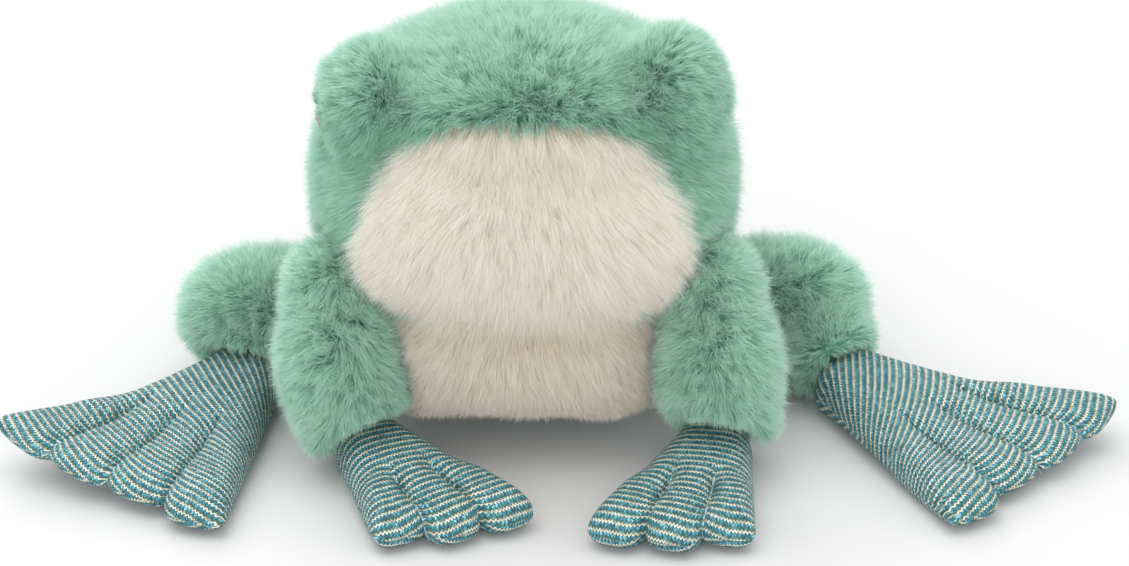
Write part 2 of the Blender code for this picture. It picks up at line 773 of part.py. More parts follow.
def make_arm(shop, root, floor, name, side):
    """Returns the cutters that make room for the arm in what it moves beside."""
    swing_axis = lift_axis(Vector((0, -1, 0)))
    hand_axis = lift_axis(toe_direction(side, -HAND_YAW_DEG[side]))
    shoulder = shop.guide(f"shoulder_{name}", shoulder_place(side), root)
    wrist = shop.guide(f"wrist_{name}", wrist_place(side), shoulder)
    ball = shop.cutter(
        f"shoulder_ball_{name}",
        ball_mesh(
            f"shoulder_ball_{name}", shoulder_place(side), SHOULDER_BALL_RADIUS, swing_axis
        ),
    )
    arm = soften(shop.part(f"arm_{name}", arm_mesh(f"arm_{name}", side), "green_pile"))
    combine(arm, ball, "UNION")
    hand_cage = hand_rings(side)
    cut(
        arm,
        shop.cutter(
            f"hand_sweep_{name}",
            sweep_mesh(
                f"hand_sweep_{name}", [point for ring in hand_cage for point in ring],
                wrist_place(side), hand_axis, WRIST_RANGE_DEG,
            ),
        ),
        shop.cutter(
            f"wrist_socket_{name}",
            ball_mesh(
                f"wrist_socket_{name}", wrist_place(side), socket_radius(WRIST_BALL_RADIUS),
                hand_axis,
            ),
        ),
    )
    hand = soften(shop.part(f"hand_{name}", digit_mesh(f"hand_{name}", hand_cage), "striped_knit"))
    wrist_ball = shop.cutter(
        f"wrist_ball_{name}",
        ball_mesh(f"wrist_ball_{name}", wrist_place(side), WRIST_BALL_RADIUS, hand_axis),
    )
    combine(hand, wrist_ball, "UNION")
    cut(hand, floor)
    seat_on_axis(arm, shoulder)
    seat_on_axis(hand, wrist)
    sleeve = [point for ring in sleeve_rings(side) for point in ring]
    return [
        shop.cutter(
            f"arm_sweep_{name}",
            sweep_mesh(
                f"arm_sweep_{name}", sleeve, shoulder_place(side), swing_axis,
                SHOULDER_RANGE_DEG,
            ),
        ),
        shop.cutter(
            f"shoulder_socket_{name}",
            ball_mesh(
                f"shoulder_socket_{name}", shoulder_place(side),
                socket_radius(SHOULDER_BALL_RADIUS), swing_axis,
            ),
        ),
    ]


def make_leg(shop, root, floor, name, side):
    """Returns the cutter that makes the thigh's seat in the body."""
    hip = shop.guide(f"hip_{name}", hip_place(side), root)
    ankle = shop.guide(f"ankle_{name}", ankle_place(side), hip)
    leg = soften(shop.part(f"leg_{name}", thigh_mesh(f"leg_{name}", side), "green_pile"))
    shin = soften(shop.cutter(f"shin_{name}", shin_mesh(f"shin_{name}", side)))
    combine(leg, shin, "UNION")
    foot_cage = foot_rings(side)
    foot_axis = lift_axis(toe_direction(side, FOOT_YAW_DEG[side]))
    cut(
        leg,
        shop.cutter(
            f"foot_sweep_{name}",
            sweep_mesh(
                f"foot_sweep_{name}", [point for ring in foot_cage for point in ring],
                ankle_place(side), foot_axis, ANKLE_RANGE_DEG,
            ),
        ),
        shop.cutter(
            f"ankle_socket_{name}",
            ball_mesh(
                f"ankle_socket_{name}", ankle_place(side), socket_radius(ANKLE_BALL_RADIUS),
                foot_axis,
            ),
        ),
        floor,
        solver=SEAT_SOLVER,
    )
    foot = soften(shop.part(f"foot_{name}", digit_mesh(f"foot_{name}", foot_cage), "striped_knit"))
    ankle_ball = shop.cutter(
        f"ankle_ball_{name}",
        ball_mesh(f"ankle_ball_{name}", ankle_place(side), ANKLE_BALL_RADIUS, foot_axis),
    )
    combine(foot, ankle_ball, "UNION")
    cut(foot, floor)
    seat_on_axis(leg, hip)
    seat_on_axis(foot, ankle)
    facet_room = THIGH_RADIUS * (1 / math.cos(math.pi / LIMB_SIDES / 2) - 1)
    room = thigh_mesh(f"thigh_room_{name}", side, FIT_GAP + facet_room)
    return [soften(shop.cutter(f"thigh_room_{name}", room))]


def stand_on_origin(root, pieces):
    """Moves the frog so that the middle of its box stands over the origin."""
    bpy.context.view_layer.update()
    graph = bpy.context.evaluated_depsgraph_get()
    corners = []
    for piece in pieces:
        seen = piece.evaluated_get(graph)
        corners += [seen.matrix_world @ Vector(corner) for corner in seen.bound_box]
    for axis in (0, 1):
        values = [corner[axis] for corner in corners]
        root.location[axis] = -(min(values) + max(values)) / 2
    bpy.context.view_layer.update()


def main():
    clear_scene()
    shop = Workshop()
    root = shop.guide("frog", (0, 0, 0), None)
    floor = shop.cutter("under_floor", slab_mesh("under_floor"))
    soften(shop.cutter("head_room", head_mesh("head_room", FIT_GAP)))
    rooms = []
    for name, side in SIDES.items():
        rooms += make_arm(shop, root, floor, name, side)
        rooms += make_leg(shop, root, floor, name, side)
    head = make_torso(shop, root, rooms, floor)
    for name, side in SIDES.items():
        make_eye(shop, root, head, name, side)
    pieces = [obj for obj in shop.parts.objects if obj.type == "MESH"]
    for obj in shop.cutters.objects:
        attach(obj, root)
    stand_on_origin(root, pieces)


main()
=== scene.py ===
"""Looks of the sitting plush frog: cloth under a real pile, padded striped knit, stitches, eyes."""

import json
import math

import bmesh
import bpy
import numpy as np
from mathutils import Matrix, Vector
from mathutils.bvhtree import BVHTree
from mathutils.kdtree import KDTree
from mathutils.noise import noise as wander


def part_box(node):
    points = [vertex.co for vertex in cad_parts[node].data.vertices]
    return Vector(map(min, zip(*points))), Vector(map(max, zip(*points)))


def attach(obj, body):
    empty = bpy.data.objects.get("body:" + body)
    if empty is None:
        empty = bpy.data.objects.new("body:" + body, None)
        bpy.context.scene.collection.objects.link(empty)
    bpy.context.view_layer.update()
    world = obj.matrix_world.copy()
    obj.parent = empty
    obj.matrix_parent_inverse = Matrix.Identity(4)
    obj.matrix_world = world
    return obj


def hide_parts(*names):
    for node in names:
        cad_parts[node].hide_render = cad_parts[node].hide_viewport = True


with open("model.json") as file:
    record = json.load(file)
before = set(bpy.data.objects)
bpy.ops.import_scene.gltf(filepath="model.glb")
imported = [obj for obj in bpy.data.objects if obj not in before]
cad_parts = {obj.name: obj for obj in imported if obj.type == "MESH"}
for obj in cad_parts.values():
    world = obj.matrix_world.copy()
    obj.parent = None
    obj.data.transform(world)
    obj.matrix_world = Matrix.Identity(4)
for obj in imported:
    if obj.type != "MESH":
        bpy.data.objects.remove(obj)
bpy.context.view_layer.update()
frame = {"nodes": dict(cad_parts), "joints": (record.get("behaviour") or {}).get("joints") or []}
NODES = frame["nodes"]
SIDES = {"left": -1, "right": 1}

TORSO_NODES = ["body", "head", "throat_panel", "belly_panel", "eye_mound_left", "eye_mound_right"]

# The skins are rebuilt in parts of this size, and lie this deep under the outer form of the pile
VOXEL = 0.0019
GREEN_DEPTH = 0.0062
CREAM_DEPTH = 0.0075
LIMB_DEPTH = 0.0056

PILE_PART = 1.0
STATIONS = np.array([0.0, 0.5, 1.0])
LENGTH_RANGE = (0.78, 1.12)
CLUMP_LENGTH_RANGE = (0.86, 1.14)
WIDTH_RANGE = (0.75, 1.2)
LONG_SHARE = 0.05
LONG_TIMES = 1.3
LOCK_OF_CLUMPS = 9
SHADE_SPREAD = 0.22
FLOOR_CLEAR = 0.0002

# Fewer strands grow where a limb covers the skin, and on the underside, up to these heights
COVERED_LOSS = 0.75
UNDERSIDE_SHARE = 0.15
UNDERSIDE_Z = (0.004, 0.012)

# No strand grows this near an eye, and the pile is short round it: near, far and least share
EYE_CLEAR = 0.0068
SHORT_ROUND_EYE = {"left": (0.007, 0.016, 0.10), "right": (0.005, 0.009, 0.45)}

# How stuffing and sewing move the skin away from the solids
FOLD_Z = 0.063
DOME_CORNER_DIP = {"left": 0.0022, "right": 0.0034}
MOUND_RISE = {"left": -0.0028, "right": 0.0050}
SEAM_POINT_X = 0.0235
SEAM_POINT_DROP = 0.0065
BELLY_OUT = 0.0085
BELLY_DOWN = 0.0055
CUFF_BACK = {"arm": 0.0070, "leg": 0.0045}

# Parting planes of the pile's pieces, and how ragged the edge between green and cream is
CHEST_TOP_Z = 0.100
RUMP_TOP_Z = 0.060
RAGGED_SCALE = 260.0
RAGGED_REACH = 0.0016
THROAT_NARROWER = 0.0038


def unit(v):
    return v / np.maximum(np.linalg.norm(v, axis=-1, keepdims=True), 1e-12)


def dot(a, b):
    return (a * b).sum(-1, keepdims=True)


def step_up(x, low, high):
    """0 below low, 1 above high, smooth between them."""
    t = np.clip((x - low) / (high - low), 0, 1)
    return t * t * (3 - 2 * t)


def arrays(mesh):
    verts = np.empty(len(mesh.vertices) * 3)
    mesh.vertices.foreach_get("co", verts)
    mesh.calc_loop_triangles()
    tris = np.empty(len(mesh.loop_triangles) * 3, int)
    mesh.loop_triangles.foreach_get("vertices", tris)
    return verts.reshape(-1, 3), tris.reshape(-1, 3)


def mesh_of(name, verts, faces, sizes=None):
    """A mesh from flat corner indices, whose faces have the given numbers of corners."""
    mesh = bpy.data.meshes.new(name)
    faces = np.asarray(faces)
    if sizes is None:
        sizes = np.full(len(faces), faces.shape[1])
        faces = faces.ravel()
    mesh.vertices.add(len(verts))
    mesh.vertices.foreach_set("co", np.asarray(verts, np.float32).ravel())
    mesh.loops.add(len(faces))
    mesh.loops.foreach_set("vertex_index", faces.astype(np.int32))
    mesh.polygons.add(len(sizes))
    starts = np.concatenate([[0], np.cumsum(sizes)[:-1]])
    mesh.polygons.foreach_set("loop_start", starts.astype(np.int32))
    mesh.polygons.foreach_set("loop_total", np.asarray(sizes, np.int32))
    mesh.update(calc_edges=True)
    mesh.validate()
    return mesh


def shown(name, mesh, material):
    obj = bpy.data.objects.new(name, mesh)
    bpy.context.scene.collection.objects.link(obj)
    mesh.materials.append(material)
    mesh.shade_smooth()
    return obj


def add_uv(mesh, name, values):
    layer = mesh.uv_layers.new(name=name)
    layer.data.foreach_set("uv", values.astype(np.float32).ravel())


def edges_of(tris):
    pairs = np.concatenate([tris[:, [0, 1]], tris[:, [1, 2]], tris[:, [2, 0]]])
    pairs.sort(axis=1)
    return np.unique(pairs, axis=0)


def smoothed(values, edges, times, share=0.5):
    """Each point's value drawn towards its neighbours' mean."""
    count = len(values)
    flat = values.reshape(count, -1).copy()
    degree = np.bincount(edges.ravel(), minlength=count)[:, None]
    for _ in range(times):
        total = np.zeros_like(flat)
        for k in range(flat.shape[1]):
            total[:, k] += np.bincount(edges[:, 0], flat[edges[:, 1], k], count)
            total[:, k] += np.bincount(edges[:, 1], flat[edges[:, 0], k], count)
        flat += share * (total / np.maximum(degree, 1) - flat)
    return flat.reshape(values.shape)


def vertex_normals(verts, tris):
    a, b, c = (verts[tris[:, k]] for k in range(3))
    face = np.cross(b - a, c - a)
    out = np.zeros_like(verts)
    for k in range(3):
        for axis in range(3):
            out[:, axis] += np.bincount(tris[:, k], face[:, axis], len(verts))
    return unit(out)


def tree_of(names):
    verts, tris, start = [], [], 0
    for name in names:
        v, t = arrays(NODES[name].data)
        verts.append(v)
        tris.append(t + start)
        start += len(v)
    verts, tris = np.concatenate(verts), np.concatenate(tris)
    return BVHTree.FromPolygons(verts.tolist(), tris.tolist())


def distances(points, tree):
    return np.array([tree.find_nearest(Vector(p))[3] or 1.0 for p in points])


def rebuilt(names, grow):
    """One closed skin round several solids, each grown a little and then remeshed as one."""
    bm = bmesh.new()
    for name in names:
        piece = bmesh.new()
        piece.from_mesh(NODES[name].data)
        bmesh.ops.remove_doubles(piece, verts=piece.verts, dist=1e-6)
        piece.normal_update()
        for vert in piece.verts:
            vert.co += vert.normal * grow
        part = bpy.data.meshes.new("part")
        piece.to_mesh(part)
        piece.free()
        bm.from_mesh(part)
        bpy.data.meshes.remove(part)
    mesh = bpy.data.meshes.new("rough_skin")
    bm.to_mesh(mesh)
    bm.free()
    obj = bpy.data.objects.new("rough_skin", mesh)
    bpy.context.scene.collection.objects.link(obj)
    remesh = obj.modifiers.new("remesh", "REMESH")
    remesh.mode = "VOXEL"
    remesh.voxel_size = VOXEL
    graph = bpy.context.evaluated_depsgraph_get()
    done = bpy.data.meshes.new_from_object(obj.evaluated_get(graph))
    verts, tris = arrays(done)
    bpy.data.objects.remove(obj, do_unlink=True)
    bpy.data.meshes.remove(done)
    return verts, tris


class Skin:
    """The cloth under the pile, and how deep it lies at each point.

    The others are solids that may cover it. Each of the bare places has a centre, a near and a
    far distance, and the share of the depth that is left at the near one.
    """

    def __init__(self, names, others, depth, bare, relax=6, soften=None, even=3):
        verts, tris = rebuilt(names, 0.0004)
        edges = edges_of(tris)
        verts = smoothed(verts, edges, relax)
        if soften is not None:
            verts = soften(verts, edges)
        normals = vertex_normals(verts, tris)
        cover = tree_of(others)
        hidden = np.zeros(len(verts))
        for i, (point, normal) in enumerate(zip(verts, normals)):
            hit = cover.ray_cast(Vector(point + normal * 0.0001), Vector(normal), 0.006)
            hidden[i] = 1.0 if hit[0] is not None else 0.0
        hidden = smoothed(hidden, edges, 4)
        share = 1 - hidden
        for centre, near, far, least in bare:
            away = np.linalg.norm(verts - np.array(centre), axis=1)
            share = np.minimum(share, least + (1 - least) * step_up(away, near, far))
        share = smoothed(share, edges, 6)
        self.outer = verts
        self.depth = depth(verts) * share
        self.hidden = hidden
        self.verts = smoothed(verts - normals * self.depth[:, None], edges, 4)
        self.tris = tris
        self.normals = unit(smoothed(vertex_normals(self.verts, tris), edges, even))


def new_material(name):
    material = bpy.data.materials.new(name)
    material.use_nodes = True
    return material, material.node_tree.nodes, material.node_tree.links


def ramp(nodes, stops):
    node = nodes.new("ShaderNodeValToRGB")
    node.color_ramp.elements[0].position = stops[0][0]
    node.color_ramp.elements[0].color = (*stops[0][1], 1)
    node.color_ramp.elements[1].position = stops[-1][0]
    node.color_ramp.elements[1].color = (*stops[-1][1], 1)
    for place, colour in stops[1:-1]:
        node.color_ramp.elements.new(place).color = (*colour, 1)
    return node


def mixed(nodes, links, factor, a, b, blend="MIX"):
    node = nodes.new("ShaderNodeMix")
    node.data_type = "RGBA"
    node.blend_type = blend
    for socket, value in ((node.inputs[0], factor), (node.inputs[6], a), (node.inputs[7], b)):
        if isinstance(value, bpy.types.NodeSocket):
            links.new(value, socket)
        elif isinstance(value, tuple):
            socket.default_value = (*value, 1)
        else:
            socket.default_value = value
    return node.outputs[2]


def maths(nodes, links, operation, *values):
    node = nodes.new("ShaderNodeMath")
    node.operation = operation
    for socket, value in zip(node.inputs, values):
        if isinstance(value, bpy.types.NodeSocket):
            links.new(value, socket)
        else:
            socket.default_value = value
    return node.outputs[0]


def noise(nodes, links, scale, detail):
    node = nodes.new("ShaderNodeTexNoise")
    node.inputs["Scale"].default_value = scale
    node.inputs["Detail"].default_value = detail
    links.new(nodes.new("ShaderNodeTexCoord").outputs["Object"], node.inputs["Vector"])
    return node.outputs["Fac"]


def white_noise(nodes, links, x, y):
    """One random value for each whole pair of x and y."""
    cell = nodes.new("ShaderNodeCombineXYZ")
    links.new(maths(nodes, links, "FLOOR", x), cell.inputs[0])
    links.new(maths(nodes, links, "FLOOR", y), cell.inputs[1])
    node = nodes.new("ShaderNodeTexWhiteNoise")
    node.noise_dimensions = "2D"
    links.new(cell.outputs[0], node.inputs["Vector"])
    return node.outputs["Value"]


def uv_parts(nodes, links, layer):
    uv = nodes.new("ShaderNodeUVMap")
    uv.uv_map = layer
    split = nodes.new("ShaderNodeSeparateXYZ")
    links.new(uv.outputs[0], split.inputs[0])
    return split.outputs[0], split.outputs[1]


def bumped(nodes, links, shader, height, strength, distance):
    bump = nodes.new("ShaderNodeBump")
    bump.inputs["Strength"].default_value = strength
    bump.inputs["Distance"].default_value = distance
    links.new(height, bump.inputs["Height"])
    links.new(bump.outputs[0], shader.inputs["Normal"])


def pile_material(name, dark, light, sheen, through_share):
    """Colour runs from root to tip along v, and from darker to lighter strands along u."""
    material, nodes, links = new_material(name)
    shader = nodes["Principled BSDF"]
    strand, station = uv_parts(nodes, links, "OFBake")
    low, high = ramp(nodes, dark), ramp(nodes, light)
    for node in (low, high):
        links.new(station, node.inputs[0])
    colour = mixed(nodes, links, strand, low.outputs[0], high.outputs[0])
    links.new(colour, shader.inputs["Base Color"])
    shader.inputs["Roughness"].default_value = 0.60
    shader.inputs["Specular IOR Level"].default_value = 0.22
    shader.inputs["Sheen Weight"].default_value = sheen
    shader.inputs["Sheen Roughness"].default_value = 0.45
    through = nodes.new("ShaderNodeBsdfTranslucent")
    links.new(colour, through.inputs["Color"])
    blend = nodes.new("ShaderNodeMixShader")
    blend.inputs[0].default_value = through_share
    links.new(shader.outputs[0], blend.inputs[1])
    links.new(through.outputs[0], blend.inputs[2])
    links.new(blend.outputs[0], nodes["Material Output"].inputs["Surface"])
    return material


def backing_material(name, colour, deep):
    """Knitted backing cloth, seen only between the strands."""
    material, nodes, links = new_material(name)
    shader = nodes["Principled BSDF"]
    blotch = noise(nodes, links, 160.0, 4.0)
    links.new(mixed(nodes, links, blotch, deep, colour), shader.inputs["Base Color"])
    shader.inputs["Roughness"].default_value = 0.9
    bumped(nodes, links, shader, noise(nodes, links, 900.0, 2.0), 0.6, 0.0006)
    return material


# The knit's stitches lean by so many courses, its cream course is so wide, and the sparkle shows
# above this chance
STITCH_LEAN = 1.7
CREAM_COURSE = 0.84
GLINT_FROM = 0.80
EYE_RADIUS = 0.0065


def knit_material(name):
    """Fine jersey in courses of cream, turquoise and dark green, darkened by painted shade where
    the yarn dips. Its map counts stitches.
    """
    material, nodes, links = new_material(name)
    shader = nodes["Principled BSDF"]
    across, along = uv_parts(nodes, links, "knit")
    from_wale = maths(nodes, links, "PINGPONG", across, 0.5)
    leaning = maths(nodes, links, "MULTIPLY_ADD", from_wale, STITCH_LEAN, along)
    chance = white_noise(nodes, links, across, leaning)
    halves = [maths(nodes, links, "MULTIPLY", value, 2.0) for value in (across, leaning)]
    sparkle = white_noise(nodes, links, *halves)
    teal = ramp(nodes, [(0.0, (0.015, 0.120, 0.160)), (0.50, (0.035, 0.240, 0.320)),
                        (0.78, (0.070, 0.420, 0.540)), (1.0, (0.400, 0.900, 1.000))])
    green = ramp(nodes, [(0.0, (0.025, 0.090, 0.080)), (0.75, (0.075, 0.210, 0.190)),
                         (1.0, (0.180, 0.520, 0.560))])
    cream = ramp(nodes, [(0.0, (0.480, 0.480, 0.360)), (0.4, (0.780, 0.740, 0.560)),
                         (1.0, (0.920, 0.890, 0.730))])
    links.new(sparkle, teal.inputs[0])
    links.new(sparkle, green.inputs[0])
    links.new(chance, cream.inputs[0])
    repeat = maths(nodes, links, "FLOORED_MODULO", leaning, 3.0)
    is_cream = maths(nodes, links, "LESS_THAN", repeat, CREAM_COURSE)
    is_green = maths(nodes, links, "GREATER_THAN", repeat, 2.0)
    colour = mixed(nodes, links, is_green, teal.outputs[0], green.outputs[0])
    colour = mixed(nodes, links, is_cream, colour, cream.outputs[0])
    inside = maths(nodes, links, "FRACT", leaning)
    crown = maths(nodes, links, "PINGPONG", inside, 0.5)
    yarn = maths(nodes, links, "MULTIPLY", crown, 2.0)
    valley = maths(nodes, links, "MULTIPLY", from_wale, 2.0)
    centre = maths(nodes, links, "SUBTRACT", 1.0, maths(nodes, links, "MULTIPLY", valley, valley))
    height = maths(nodes, links, "MULTIPLY", maths(nodes, links, "POWER", yarn, 0.5),
                   maths(nodes, links, "MULTIPLY_ADD", centre, 0.60, 0.40))
    # Painted shade: the colour darkens where the yarn dips, between the loops and towards the wale
    # edges, by the same height that drives the bump
    shade = maths(nodes, links, "MULTIPLY_ADD", height, 0.72, 0.36)
    dim = nodes.new("ShaderNodeCombineColor")
    for k in range(3):
        links.new(shade, dim.inputs[k])
    colour = mixed(nodes, links, 1.0, colour, dim.outputs[0], "MULTIPLY")
    links.new(colour, shader.inputs["Base Color"])
    glint = maths(nodes, links, "GREATER_THAN", sparkle, GLINT_FROM)
    metal = maths(nodes, links, "MULTIPLY", glint, maths(nodes, links, "SUBTRACT", 1.0, is_cream))
    links.new(maths(nodes, links, "MULTIPLY", metal, 0.55), shader.inputs["Metallic"])
    links.new(maths(nodes, links, "MULTIPLY_ADD", metal, -0.35, 0.68), shader.inputs["Roughness"])
    bumped(nodes, links, shader, height, 0.75, 0.00035)
    return material


def thread_material(name):
    material, nodes, links = new_material(name)
    shader = nodes["Principled BSDF"]
    twist = noise(nodes, links, 2600.0, 1.0)
    links.new(mixed(nodes, links, twist, (0.330, 0.590, 0.630), (0.640, 0.830, 0.860)),
              shader.inputs["Base Color"])
    shader.inputs["Roughness"].default_value = 0.5
    return material


def eye_material(name, centre, outward):
    """A dark pupil inside a brown and amber iris under clear plastic."""
    material, nodes, links = new_material(name)
    shader = nodes["Principled BSDF"]
    place = nodes.new("ShaderNodeTexCoord").outputs["Object"]
    for operation, value in (("SUBTRACT", centre), ("CROSS_PRODUCT", outward)):
        node = nodes.new("ShaderNodeVectorMath")
        node.operation = operation
        links.new(place, node.inputs[0])
        node.inputs[1].default_value = value
        place = node.outputs[0]
    radius = nodes.new("ShaderNodeVectorMath")
    radius.operation = "LENGTH"
    links.new(place, radius.inputs[0])
    share = maths(nodes, links, "DIVIDE", radius.outputs["Value"], EYE_RADIUS)
    flecks = noise(nodes, links, 900.0, 3.0)
    fleck = maths(nodes, links, "MULTIPLY_ADD", flecks, 0.12, -0.06)
    share = maths(nodes, links, "ADD", share, fleck)
    colours = ramp(nodes, [(0.0, (0.004, 0.003, 0.003)), (0.46, (0.006, 0.004, 0.003)),
                           (0.54, (0.150, 0.066, 0.024)), (0.78, (0.250, 0.125, 0.050)),
                           (0.93, (0.090, 0.038, 0.018)), (1.0, (0.020, 0.010, 0.008))])
    links.new(share, colours.inputs[0])
    links.new(colours.outputs[0], shader.inputs["Base Color"])
    shader.inputs["Roughness"].default_value = 0.07
    shader.inputs["Coat Weight"].default_value = 1.0
    shader.inputs["Coat Roughness"].default_value = 0.03
    return material


def washer_material(name):
    material, nodes, links = new_material(name)
    shader = nodes["Principled BSDF"]
    cloud = noise(nodes, links, 500.0, 2.0)
    links.new(mixed(nodes, links, cloud, (0.62, 0.62, 0.59), (0.78, 0.78, 0.75)),
              shader.inputs["Base Color"])
    shader.inputs["Roughness"].default_value = 0.42
    return material


def drifting(points, scale):
    """A smooth random direction at each point."""
    out = np.empty((len(points), 3))
    for k in range(3):
        offset = Vector((7.3 * k, 3.1 * k, 0))
        out[:, k] = [wander(Vector(p) * scale + offset) for p in points]
    return out


def nearest(places, points):
    """The index of the nearest place to each point."""
    tree = KDTree(len(places))
    for index, place in enumerate(places):
        tree.insert(place, index)
    tree.balance()
    return np.array([tree.find(point)[1] for point in points])


def tangent(v, normal):
    return v - dot(v, normal) * normal


def grow_pile(name, body, skin, chosen, count, look, comb, material, seed):
    """Strands on the chosen triangles of a skin, each a curved ribbon that narrows to its tip."""
    rng = np.random.default_rng(seed)
    count = int(count * PILE_PART)
    tris = skin.tris[chosen]
    a, b, c = (skin.verts[tris[:, k]] for k in range(3))
    open_share = 1 - COVERED_LOSS * skin.hidden[tris].mean(axis=1)
    area = np.linalg.norm(np.cross(b - a, c - a), axis=1) * open_share
    height = (a[:, 2] + b[:, 2] + c[:, 2]) / 3
    area = area * (UNDERSIDE_SHARE + (1 - UNDERSIDE_SHARE) * step_up(height, *UNDERSIDE_Z))
    pick = rng.choice(len(tris), count, p=area / area.sum())
    r1, r2 = np.sqrt(rng.random(count)), rng.random(count)
    bary = np.stack([1 - r1, r1 * (1 - r2), r1 * r2], axis=1)[:, :, None]
    corner = tris[pick]
    root = (skin.verts[corner] * bary).sum(1)
    normal = unit((skin.normals[corner] * bary).sum(1))
    depth = (skin.depth[corner][:, :, None] * bary).sum(1)

    seeds = rng.choice(count, max(count // look["clump"], 1), replace=False)
    home = nearest(root[seeds], root)
    lock_seeds = rng.choice(count, max(count // (look["clump"] * LOCK_OF_CLUMPS), 1), replace=False)
    lock = nearest(root[lock_seeds], root[seeds])
    tuft = rng.normal(0, look["tousle"], (len(seeds), 3))
    tuft += rng.normal(0, look["tousle"] * 0.8, (len(lock_seeds), 3))[lock]
    drift = drifting(root[seeds], 75.0)
    tuft += look["drift"] * drift
    stray = rng.normal(0, look["stray"], (count, 3))
    flow = comb(root, normal)
    size = look["length"] * (0.42 + 0.58 * np.clip(depth / look["depth"], 0, 1.15))
    size = size * look["trim"](root)[:, None]
    size = size * rng.uniform(*LENGTH_RANGE, (count, 1))
    size = size * np.where(rng.random((count, 1)) < LONG_SHARE, LONG_TIMES, 1.0)
    clump_size = rng.uniform(*CLUMP_LENGTH_RANGE, (len(seeds), 1))

    def strand(base, n, way, own, length):
        start = unit(n + 0.35 * tangent(way + own, n))
        sag = look["sag"] * np.array([0, 0, -1.0])
        finish = unit(look["lift"] * n + tangent(way + own, n) + sag)
        t = STATIONS[None, :, None]
        return base[:, None] + length[:, None] * (
            start[:, None] * (t - t * t / 2) + finish[:, None] * (t * t / 2)
        )

    points = strand(root, normal, flow, tuft[home] + stray, size * clump_size[home])
    guide = strand(root[seeds], normal[seeds], flow[seeds], tuft, size[seeds] * 1.04 * clump_size)
    pull = look["pull"] * (STATIONS**1.4)[None, :, None]
    points = points + pull * (guide[home] - points)
    points[:, :, 2] = np.maximum(points[:, :, 2], 0.0004 + 0.0006 * rng.random((count, 1)))

    ahead = unit(points[:, 1:] - points[:, :-1])
    side = np.cross(ahead[:, 0], normal) + 0.9 * unit(rng.normal(size=(count, 3)))
    side = unit(side - dot(side, ahead[:, 0]) * ahead[:, 0])
    width = look["width"] * rng.uniform(*WIDTH_RANGE, (count, 1, 1)) / 2
    widths = width * np.array([1.0, 0.85])[None, :, None]
    left = points[:, :2] - side[:, None] * widths
    right = points[:, :2] + side[:, None] * widths
    verts = np.empty((count, 5, 3))
    verts[:, 0:4:2], verts[:, 1:4:2], verts[:, 4] = left, right, points[:, 2]
    verts[:, :, 2] = np.maximum(verts[:, :, 2], FLOOR_CLEAR)
    corners = np.array([0, 1, 3, 2, 2, 3, 4])
    loops = (corners[None] + 5 * np.arange(count)[:, None]).ravel()
    mesh = mesh_of(name, verts.reshape(-1, 3), loops, np.tile([4, 3], count))

    # A strand's shade picks between the dark and light strand colours: the look's painted light and
    # shade, plus random tone for its clump and for itself
    clump_shade = rng.normal(0, 0.05, len(seeds)) + 0.16 * drift[:, 2]
    shade = look["shade"](root, normal) + clump_shade[home]
    shade = np.clip(shade + rng.normal(0, SHADE_SPREAD, count), 0.03, 0.97)
    left_u, right_u = shade - 0.012, shade + 0.012
    u = np.stack([left_u, right_u, right_u, left_u, left_u, right_u, shade], axis=1)
    v = np.tile(STATIONS[[0, 0, 1, 1, 1, 1, 2]], (count, 1))
    add_uv(mesh, "OFBake", np.stack([u, v], axis=2))
    obj = shown(name, mesh, material)
    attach(obj, body)
    return obj


def skin_piece(name, skin, chosen, material):
    """The skin's chosen triangles as an object of their own."""
    used, inverse = np.unique(skin.tris[chosen], return_inverse=True)
    mesh = mesh_of(name, skin.verts[used], inverse.reshape(-1, 3))
    return shown(name, mesh, material)


HEAD_LOW, HEAD_HIGH = (np.array(corner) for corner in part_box("head"))
MIDDLE_X = float((HEAD_LOW[0] + HEAD_HIGH[0]) / 2)
EYE_CENTRE, EYE_OUT = {}, {}
for name, side in SIDES.items():
    verts, _ = arrays(NODES[f"eye_{name}"].data)
    washer, _ = arrays(NODES[f"eye_washer_{name}"].data)
    inner = washer.mean(0)
    outward = unit(verts[np.argmax(side * verts[:, 0])] - inner)
    far = verts @ outward
    button = verts[far > far.max() - 0.0046]
    EYE_OUT[name] = unit(button.mean(0) - inner)
    ahead = float((button @ EYE_OUT[name]).mean() - inner @ EYE_OUT[name])
    EYE_CENTRE[name] = inner + EYE_OUT[name] * ahead

CROWN = np.array([MIDDLE_X, 0.012, HEAD_HIGH[2]])


def flat_x(points):
    return points[:, 0] - MIDDLE_X


def green_comb(points, normals):
    """Away from a whorl on the crown, out over the cheeks and the right eye, and round the left."""
    x = flat_x(points)
    way = unit(points - CROWN) * 0.75
    way[:, 0] += 0.55 * np.clip(x / 0.06, -1, 1) * step_up(-points[:, 1], -0.03, 0.03)
    low = step_up(0.12 - points[:, 2], 0.0, 0.08)
    way[:, 2] -= 0.35 * low
    way[:, 1] += 0.5 * step_up(points[:, 1], 0.0, 0.05) * low
    away = np.linalg.norm(points - EYE_CENTRE["right"], axis=1)
    ahead = step_up(EYE_CENTRE["right"][1] - points[:, 1], -0.002, 0.004)
    way[:, 0] += 1.3 * (1 - step_up(away, 0.008, 0.020)) * ahead
    off = points - EYE_CENTRE["left"]
    near = 1 - step_up(np.linalg.norm(off, axis=1), 0.009, 0.021)[:, None]
    way += near * (1.7 * unit(off) - way)
    return way * 0.85


def cream_comb(points, normals):
    """Down from the mouth, parted along the middle, and out over both edges."""
    way = np.tile([0.0, -0.15, -0.95], (len(points), 1))
    way[:, 0] = 0.95 * np.clip(flat_x(points) / 0.045, -1.2, 1.2)
    return way


def limb_comb(kind, side):
    """One way all over: down and a little outwards."""
    way = [0.25 * side, 0.0, -0.65] if kind == "arm" else [0.20 * side, 0.30, -0.55]
    return lambda points, normals: np.tile(way, (len(points), 1))


